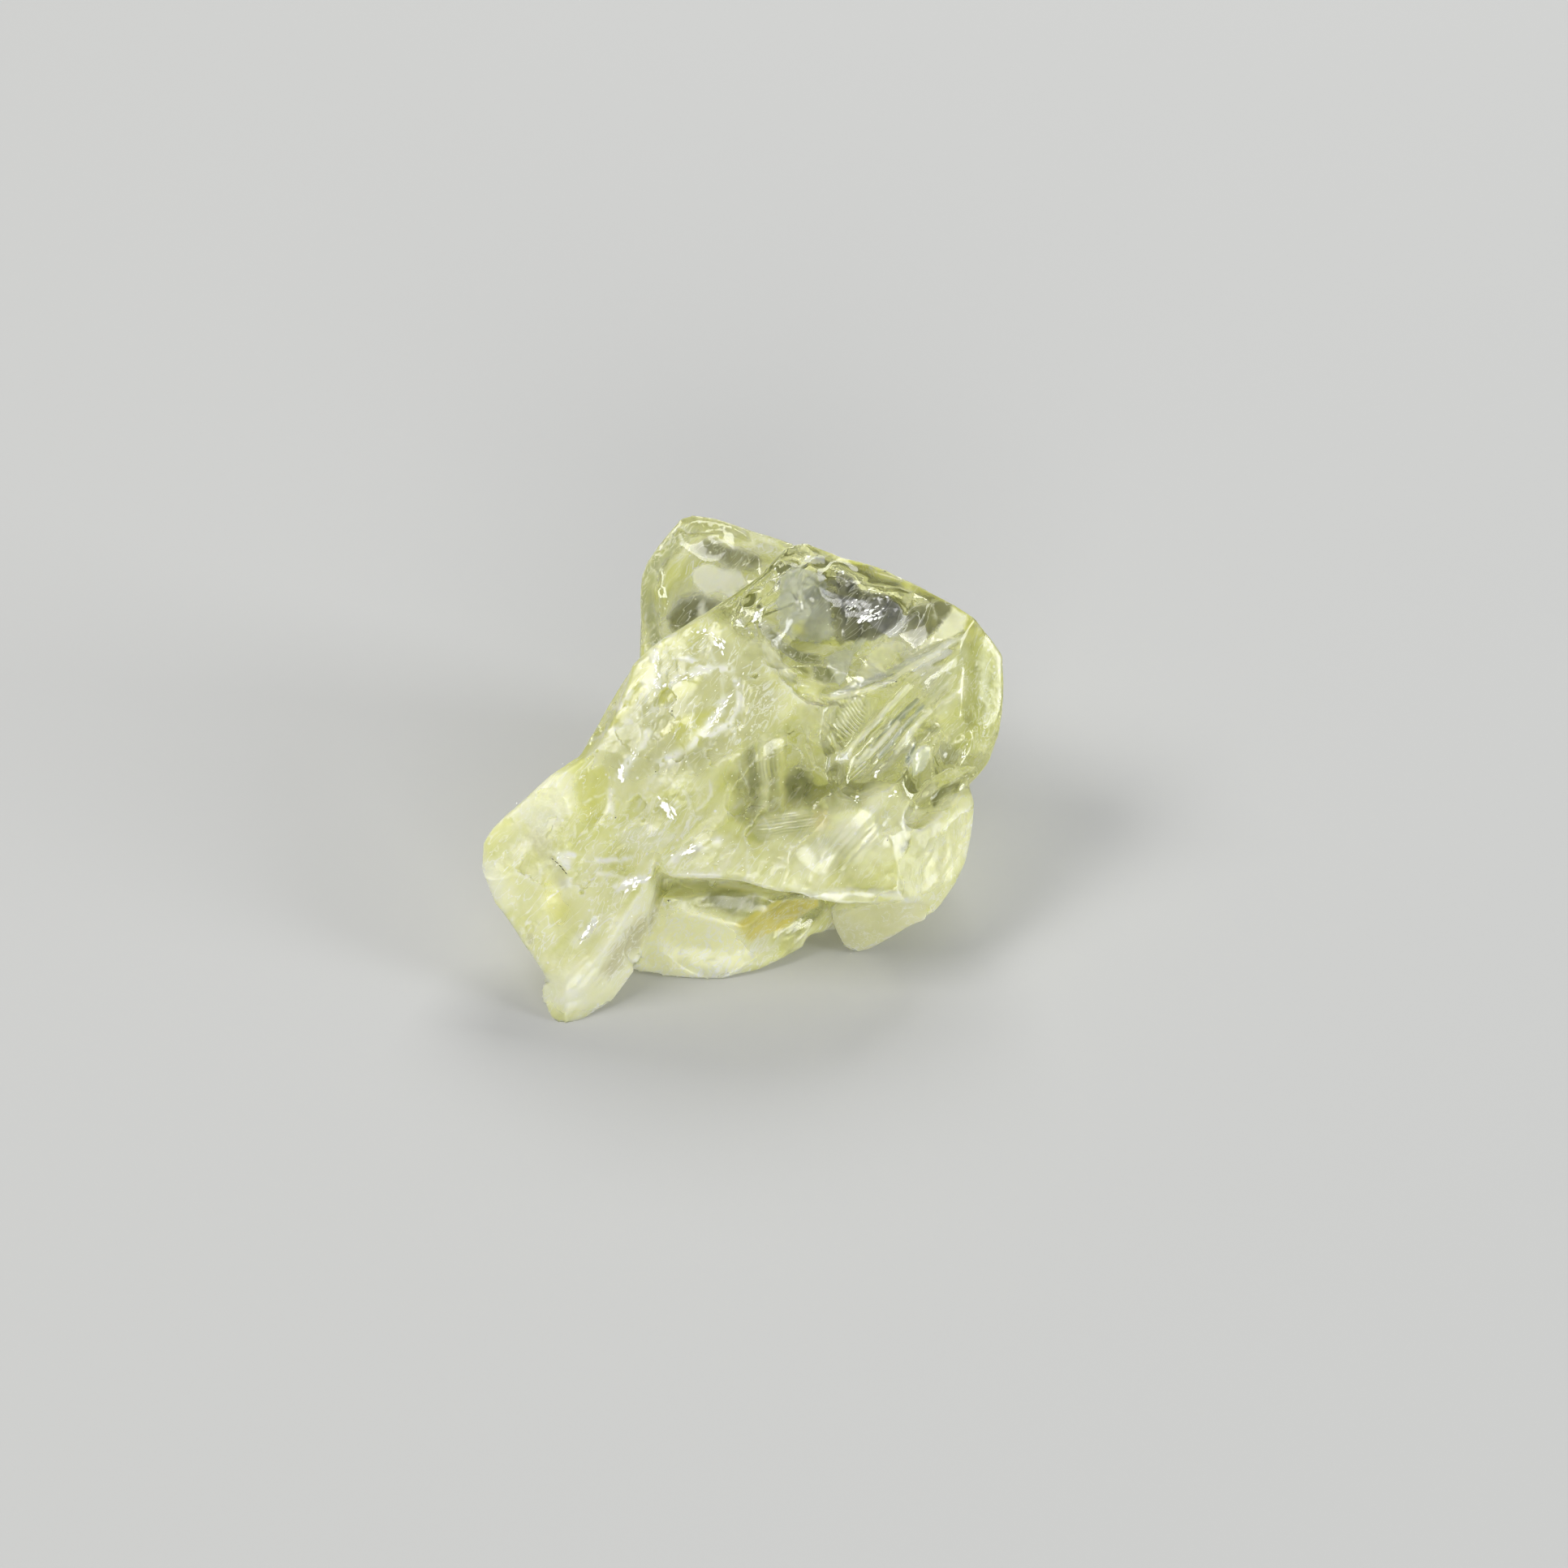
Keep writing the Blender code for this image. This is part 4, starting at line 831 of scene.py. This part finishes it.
def finishSkin(stone):  # stores on the skin what its material reads
    mesh = stone.data
    for face in mesh.polygons:
        face.use_smooth = True
    mesh.set_sharp_from_angle(angle=math.radians(skin["sharpAngle"]))
    points = readPoints(mesh)
    normals = readNormals(mesh)
    proud = ((points - smooth(mesh, points, 4)) * normals).sum(axis=1)
    milk, frost, haze = paint(points)
    colour = tintPatches(points, smooth(mesh, normals, 8), milk, frost)
    phase, strength = rule(points, normals)
    fields = {"milk": milk, "frost": frost, "haze": haze, "edge": softly(proud, *skin["proud"]),
              "phase": phase, "lines": strength, "patch": colour[:, 3], "drift": cloud(points, 4.2, 58)}
    for name, values in fields.items():
        store(mesh, name, values)
    # the patches' colours, painted light and shade among them
    tintLightAndShade = mesh.attributes.new("tintLightAndShade", "FLOAT_VECTOR", "POINT")
    tintLightAndShade.data.foreach_set("vector", colour[:, :3].astype(np.float32).ravel())


# white plates turned to catch the key lamp; besides its real reflection, their white is a painted highlight
glints = {  # clusters of bright flecks: place, half length, half width, turn, how many, their size
    "toe": ((-10.5, 6.4), 1.2, 0.2, 52, 16, (0.1, 0.35)),
    "wing": ((-7.5, 9.6), 1.0, 0.3, 15, 20, (0.1, 0.4)),
    "veilLow": ((-8.2, 17.0), 0.7, 0.15, 90, 14, (0.15, 0.45)),
    "veilSide": ((-7.4, 18.3), 0.5, 0.3, 80, 8, (0.08, 0.25)),
    "veilMid": ((-5.3, 14.7), 0.8, 0.3, 127, 20, (0.2, 0.6)),
    "wingTip": ((-3.7, 11.8), 0.8, 0.25, 25, 16, (0.1, 0.4)),
    "brow": ((-1.6, 25.7), 0.8, 0.3, 126, 18, (0.15, 0.5)),
    "browLeft": ((-2.9, 26.5), 0.6, 0.25, 160, 8, (0.1, 0.3)),
    "crest": ((-5.9, 24.0), 1.4, 0.25, 95, 28, (0.08, 0.25)),
    "crestArm": ((-4.2, 23.4), 1.6, 0.25, 20, 26, (0.08, 0.25)),
    "veilArc": ((-1.7, 21.0), 1.9, 0.25, 55, 34, (0.08, 0.3)),
    "sparkTop": ((6.6, 30.7), 0.3, 0.2, 0, 8, (0.1, 0.3)),
    "sparkLeft": ((7.4, 28.4), 0.6, 0.3, 30, 14, (0.08, 0.22)),
    "sparks": ((8.6, 27.7), 0.9, 0.5, 20, 44, (0.08, 0.35)),
    "paneGlow": ((1.0, 27.6), 0.7, 0.4, 30, 14, (0.1, 0.35)),
    "sparksUp": ((9.0, 29.3), 0.8, 0.3, -20, 14, (0.06, 0.16)),
    "rimSparks": ((4.6, 31.6), 0.8, 0.15, 5, 12, (0.06, 0.18)),
    "paneEdge": ((2.1, 30.6), 0.5, 0.3, 40, 6, (0.06, 0.15)),
    "paneFoot": ((1.4, 27.2), 0.5, 0.3, 0, 6, (0.06, 0.15)),
    "fanFoot": ((6.6, 18.0), 0.5, 0.25, 20, 14, (0.12, 0.4)),
    "fanWedge": ((9.0, 16.9), 0.5, 0.2, 50, 6, (0.1, 0.3)),
    "lowLeft": ((7.6, 15.3), 0.3, 0.3, 0, 6, (0.08, 0.25)),
    "lowRight": ((10.1, 15.5), 0.4, 0.3, 0, 6, (0.08, 0.25)),
    "rightEdge": ((15.1, 18.5), 0.6, 0.2, 60, 8, (0.08, 0.25)),
    "bruise": ((-12.3, 11.2), 0.6, 0.4, 60, 12, (0.05, 0.15)),
    "allOver": ((-3, 15), 16, 10, 45, 420, (0.03, 0.09)),
}
specks = {  # dark slivers: place on the face, half length, half width, turn
    "crackTop": ((-12.85, 11.2), 0.2, 0.04, -38), "crackHigh": ((-12.6, 10.98), 0.2, 0.035, -42),
    "crackMid": ((-12.36, 10.74), 0.2, 0.04, -45), "crackLow": ((-12.13, 10.48), 0.2, 0.05, -48),
    "crackEnd": ((-11.95, 10.26), 0.16, 0.06, -50), "dotHigh": ((-4.8, 21.2), 0.07, 0.06, 0),
    "dotRight": ((10.3, 23.2), 0.1, 0.07, 10), "dotLow": ((9.7, 12.5), 0.07, 0.05, 60),
    "dotChin": ((-5.1, 8.4), 0.12, 0.06, 60), "dotShelf": ((4.0, 8.1), 0.07, 0.05, 0),
    "dotVeil": ((-5.9, 17.1), 0.06, 0.05, 0), "paneA": ((5.6, 26.1), 0.14, 0.03, 80),
    "paneB": ((5.9, 25.8), 0.12, 0.03, -30), "paneC": ((6.4, 26.3), 0.14, 0.03, 70),
    "paneD": ((6.8, 26.5), 0.12, 0.03, 100), "paneE": ((1.1, 26.9), 0.2, 0.04, 5),
    "rim": ((9.6, 30.7), 0.1, 0.07, 0), "brownDot": ((-8.6, 14.0), 0.07, 0.05, 40),
}
fleck = {"seed": 3, "near": 0.2, "foremost": 0.3, "proud": 0.05, "unevenness": 0.06, "corners": 6, "skew": 18,
         "reach": (0.5, 1.15), "rise": (0.12, -0.5)}
cluster = {"seed": 4, "scatter": 0.5, "smaller": (0.5, 1), "slim": (0.15, 0.6), "turn": (-30, 30)}


def frontPoint(points, index, a, u, deep, up):  # the foremost point of the skin there, or none
    order, sortedX = index
    first, last = np.searchsorted(sortedX, (a - fleck["near"], a + fleck["near"]))
    near = order[first:last]
    near = near[np.abs(up[near] - u) < fleck["near"]]
    if not len(near):
        return None
    near = near[deep[near] < deep[near].min() + fleck["foremost"]]
    return near[np.argmin(np.hypot(points[near, 0] - a, up[near] - u))]


def addPlate(bm, centre, facing, length, width, turn, random):  # a small six-sided plate, used for the glints and the dark specks
    axes = axesOf(facing, turn)
    ring = []
    for corner in range(fleck["corners"]):
        angle = math.radians(corner * 360 / fleck["corners"] + random.uniform(-fleck["skew"], fleck["skew"]))
        reach = random.uniform(*fleck["reach"])
        local = np.array((math.cos(angle) * length * reach, math.sin(angle) * width * reach, 0))
        ring.append(bm.verts.new((centre + axes @ local + tip) * mm))
    top, bottom = (bm.verts.new((centre + axes[:, 2] * rise * width + tip) * mm) for rise in fleck["rise"])
    for one, two in zip(ring, ring[1:] + ring[:1]):
        bm.faces.new((one, two, top))
        bm.faces.new((two, one, bottom))


def makeFlecks(name, places):  # each has its place, half length, half width, turn, and if it faces the light
    random = np.random.default_rng(fleck["seed"])
    points, normals = readPoints(stone.data), readNormals(stone.data)
    _, up, deep = faceMeasures(points)
    index = newIndex(points)
    light = np.array(softboxes["key"][0]) / mm
    bm = bmesh.new()
    for (a, u), length, width, turn, shines in places:
        at = frontPoint(points, index, a, u, deep, up)
        if at is None:
            continue
        facing = normals[at]
        if shines:
            facing = outOfFace + (light - points[at]) / np.linalg.norm(light - points[at])
            facing = facing / np.linalg.norm(facing) + random.normal(0, fleck["unevenness"], 3)
        centre = points[at] + onFace(a - points[at, 0], u - up[at], 0) + normals[at] * fleck["proud"]
        addPlate(bm, centre, facing, length, width, turn, random)
    return newPiece(name, bm)


def glintPlaces():
    random = np.random.default_rng(cluster["seed"])
    places = []
    for (x, y), length, width, turn, count, sizes in glints.values():
        c, s = math.cos(math.radians(turn)), math.sin(math.radians(turn))
        for _ in range(count):
            along, aside = random.normal(0, cluster["scatter"], 2) * (length, width)
            place = (x + along * c - aside * s, y + along * s + aside * c)
            size = random.uniform(*sizes) * random.uniform(*cluster["smaller"])
            slim = random.uniform(*cluster["slim"])
            places.append((place, size, size * slim, random.uniform(*cluster["turn"]) + turn, True))
    return places


stone = makeSkin()
print("skin", len(stone.data.vertices))
sculpt(stone)
print("sculpted")
thin(stone)
finishSkin(stone)
glintPiece = makeFlecks("glints", glintPlaces())
speckPiece = makeFlecks("specks", [(*speck, False) for speck in specks.values()])
print("flecks", len(glintPiece.data.polygons), len(speckPiece.data.polygons))


def plug(tree, socket, value):
    if isinstance(value, bpy.types.NodeSocket):
        tree.links.new(value, socket)
    else:
        socket.default_value = (*value, 1) if socket.type == "RGBA" else value


def newNode(tree, kind, inputs, **settings):
    node = tree.nodes.new("ShaderNode" + kind)
    for name, setting in settings.items():
        setattr(node, name, setting)
    for label, value in inputs.items():
        plug(tree, node.inputs[label], value)
    return node


def maths(tree, operation, *values, clamp=False):
    return newNode(tree, "Math", dict(enumerate(values)), operation=operation, use_clamp=clamp).outputs[0]


def product(tree, first, *others):
    for other in others:
        first = maths(tree, "MULTIPLY", first, other)
    return first


def blend(tree, factor, a, b):  # of two colours
    return newNode(tree, "Mix", {0: factor, 6: a, 7: b}, data_type="RGBA").outputs[2]


def blendShaders(tree, factor, a, b):
    return newNode(tree, "MixShader", {0: factor, 1: a.outputs[0], 2: b.outputs[0]})


def ramp(tree, *values):  # value, low and high, and what they give, 0 and 1 unless told
    return newNode(tree, "MapRange", dict(enumerate(values)), interpolation_type="SMOOTHSTEP").outputs[0]


def ownPlace(tree):
    return newNode(tree, "TexCoord", {}).outputs["Object"]


def noiseTexture(tree, scale, detail, vector=None, distortion=0.0):
    inputs = {"Vector": vector or ownPlace(tree), "Scale": scale, "Detail": detail, "Distortion": distortion}
    return newNode(tree, "TexNoise", inputs).outputs["Fac"]


def grainMapping(tree, long, short):  # coordinates stretched along the way the stone's veils run
    c, s = math.cos(math.radians(grainTurn)), math.sin(math.radians(grainTurn))
    across, up, deep = (Vector(onFace(*way)) for way in ((1, 0, 0), (0, 1, 0), (0, 0, 1)))
    basis = Matrix((across * c + up * s, up * c - across * s, deep)).transposed()
    scale = Vector((long, short, short)) * mm
    inputs = {"Vector": ownPlace(tree), "Rotation": basis.to_euler(), "Scale": scale}
    return newNode(tree, "Mapping", inputs, vector_type="TEXTURE").outputs["Vector"]


quartz = {
    "clear": (0.985, 0.99, 0.95), "green": (0.67, 0.685, 0.23), "haze": (0.87, 0.865, 0.64),
    # the trough colour is painted shade for the fine lines' troughs
    "white": (0.96, 0.96, 0.9), "troughShadeColour": (0.3, 0.33, 0.2),
    "ior": 1.544, "clearRough": 0.02, "frostRough": 0.5, "absorbs": (0.94, 0.96, 0.2), "density": 10,
    "milkLetsThrough": 0.5, "milkShine": 0.2, "glow": 0.0016, "glowRadius": (1, 0.95, 0.5), "wallGlow": 0.6,
    "mottle": (420, 3), "torn": (1500, 1), "grit": (1400, 2), "sparkleDots": 1300,  # scale, and detail
    "streaks": (2.4, 0.6),  # length and width along the grain, and for fibres also line width and drift
    "fibres": ((3.6, 0.9, 0.024, -0.1, 0.2), (1.5, 0.5, 0.045, 0.0, -0.3)),
    "mottling": 0.7, "hazeMottling": 2.0, "hazeStreaks": 1.3, "veilWhite": 0.9, "edgeWhite": 0.4,
    "crestHighlight": 0.5, "troughShadeStrength": -0.5,
    "bump": 0.8, "bumpDepth": 0.00002, "gritHeight": 6.0, "lineHeight": 0.9,
}


def readSkin(tree):  # the values stored on the skin
    painted = {}
    for name in ("milk", "frost", "haze", "edge", "seam", "phase", "lines", "patch", "drift", "tintLightAndShade"):
        output = "Vector" if name == "tintLightAndShade" else "Fac"
        painted[name] = newNode(tree, "Attribute", {}, attribute_name=name).outputs[output]
    return painted


def veilLines(tree, painted):  # thin white fibres along the grain, in the milky parts
    lines = []
    for long, short, width, low, high in quartz["fibres"]:
        fibres = noiseTexture(tree, 1, 3, vector=grainMapping(tree, long, short), distortion=1.0)
        off = maths(tree, "ABSOLUTE", maths(tree, "SUBTRACT", fibres, 0.5))
        line = ramp(tree, off, 0, width, 1.0, 0.0)
        lines.append(product(tree, line, ramp(tree, painted["drift"], low, high)))
    return product(tree, maths(tree, "MAXIMUM", *lines), painted["milk"], quartz["veilWhite"])


def fineLines(tree, painted):  # crests at 1 and troughs at -1 across each field of fine lines
    wave = maths(tree, "SINE", product(tree, painted["phase"], math.tau))
    return product(tree, wave, product(tree, painted["lines"], ramp(tree, painted["drift"], -0.5, 0.1)))


# tiny white dots over the milky parts: painted sparkles that stand in for glints
def paintedSparkles(tree, painted, mottle):
    cells = newNode(tree, "TexVoronoi", {"Scale": quartz["sparkleDots"], "Vector": ownPlace(tree)})
    sparkleDots = ramp(tree, cells.outputs["Distance"], 0.1, 0.16, 1.0, 0.0)
    return product(tree, sparkleDots, ramp(tree, mottle, 0.52, 0.58), painted["milk"])


def quartzMaterial():
    material = bpy.data.materials.new("greenQuartz")
    material.use_nodes = True
    tree = material.node_tree
    tree.nodes.clear()
    painted = readSkin(tree)
    mottle = noiseTexture(tree, *quartz["mottle"])
    streaks = noiseTexture(tree, 1, 3, vector=grainMapping(tree, *quartz["streaks"]))
    centred = product(tree, maths(tree, "SUBTRACT", mottle, 0.5), quartz["mottling"])
    milk = ramp(tree, maths(tree, "ADD", painted["milk"], centred), 0.1, 0.9)
    streaked = product(tree, maths(tree, "SUBTRACT", streaks, 0.5), quartz["hazeStreaks"])
    haze = maths(tree, "ADD", painted["haze"], streaked)
    haze = maths(tree, "ADD", haze, product(tree, centred, quartz["hazeMottling"]), clamp=True)
    wave = fineLines(tree, painted)
    worn = product(tree, painted["edge"], quartz["edgeWhite"])
    pale = maths(tree, "MAXIMUM", veilLines(tree, painted), worn)
    torn = ramp(tree, noiseTexture(tree, *quartz["torn"]), 0.34, 0.48)
    pale = maths(tree, "MAXIMUM", pale, product(tree, painted["seam"], torn), clamp=True)
    # painted highlight along the fine lines' crests
    pale = maths(tree, "MAXIMUM", pale, product(tree, wave, quartz["crestHighlight"]), clamp=True)
    milk = maths(tree, "MAXIMUM", milk, product(tree, pale, 0.8))
    patchShare = product(tree, painted["patch"], ramp(tree, streaks, 0.25, 0.6, 1.0, 0.8))
    # painted shade in the fine lines' troughs
    paintedTroughShade = maths(tree, "MULTIPLY", wave, quartz["troughShadeStrength"], clamp=True)
    sparkleDots = paintedSparkles(tree, painted, mottle)
    tintLightAndShade = blend(tree, haze, quartz["green"], quartz["haze"])
    for share, colour in ((patchShare, painted["tintLightAndShade"]), (paintedTroughShade, quartz["troughShadeColour"]),
                          (pale, quartz["white"]), (sparkleDots, quartz["white"])):
        tintLightAndShade = blend(tree, share, tintLightAndShade, colour)

    grit = product(tree, noiseTexture(tree, *quartz["grit"]), maths(tree, "ADD", painted["frost"], 0.1))
    ripple = product(tree, wave, quartz["lineHeight"])
    height = maths(tree, "ADD", product(tree, grit, quartz["gritHeight"]), ripple)
    bumpInputs = {"Distance": quartz["bumpDepth"], "Strength": quartz["bump"], "Height": height}
    bump = newNode(tree, "Bump", bumpInputs)
    rough = maths(tree, "MULTIPLY_ADD", painted["frost"], quartz["frostRough"], quartz["clearRough"])
    finish = {"IOR": quartz["ior"], "Roughness": rough, "Normal": bump.outputs["Normal"]}
    # the clear glass takes the patches' colours too, so their painted reflections and shade darken the window
    glass = blend(tree, painted["patch"], quartz["clear"], painted["tintLightAndShade"])
    clear = newNode(tree, "BsdfPrincipled", finish | {"Transmission Weight": 1, "Base Color": glass})
    finish |= {"Transmission Weight": quartz["milkLetsThrough"], "Specular IOR Level": quartz["milkShine"],
               "Base Color": tintLightAndShade}
    milkyInside = newNode(tree, "BsdfPrincipled", finish)
    finish |= {"Subsurface Weight": 1, "Subsurface Scale": quartz["glow"],
               "Subsurface Radius": quartz["glowRadius"]}
    milky = newNode(tree, "BsdfPrincipled", finish)
    soakedThrough = newNode(tree, "BsdfTranslucent", {"Color": tintLightAndShade})  # daylight through the milky wall
    wall = blendShaders(tree, quartz["wallGlow"], milkyInside, soakedThrough)
    bySide = blendShaders(tree, newNode(tree, "NewGeometry", {}).outputs["Backfacing"], milky, wall)
    surface = blendShaders(tree, milk, clear, bySide)
    volume = newNode(tree, "VolumeAbsorption", {"Color": quartz["absorbs"], "Density": quartz["density"]})
    newNode(tree, "OutputMaterial", {"Surface": surface.outputs[0], "Volume": volume.outputs[0]})
    return material


# the glints' near-white is a painted highlight, besides the key lamp's real reflection on them
fleckLooks = {"glint": ((0.93, 0.94, 0.88), 0.1), "speck": ((0.03, 0.028, 0.02), 0.5)}  # colour, roughness

stone.data.materials.clear()
stone.data.materials.append(quartzMaterial())
glintPiece.data.materials.append(plainMaterial("glintWhite", *fleckLooks["glint"]))
speckPiece.data.materials.append(plainMaterial("speckDark", *fleckLooks["speck"]))
for piece in (stone, glintPiece, speckPiece):
    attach(piece, "root")
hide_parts("stone")
print("materials")

tracing = {"bounces": 12, "noiseLimit": 0.08}
scene = bpy.context.scene
scene.view_settings.view_transform = "Standard"
scene.cycles.max_bounces = tracing["bounces"]
scene.cycles.transmission_bounces = tracing["bounces"]
scene.cycles.use_light_tree = False  # four lights are quicker without it
scene.cycles.adaptive_threshold = tracing["noiseLimit"]
scene.cycles.use_denoising = True
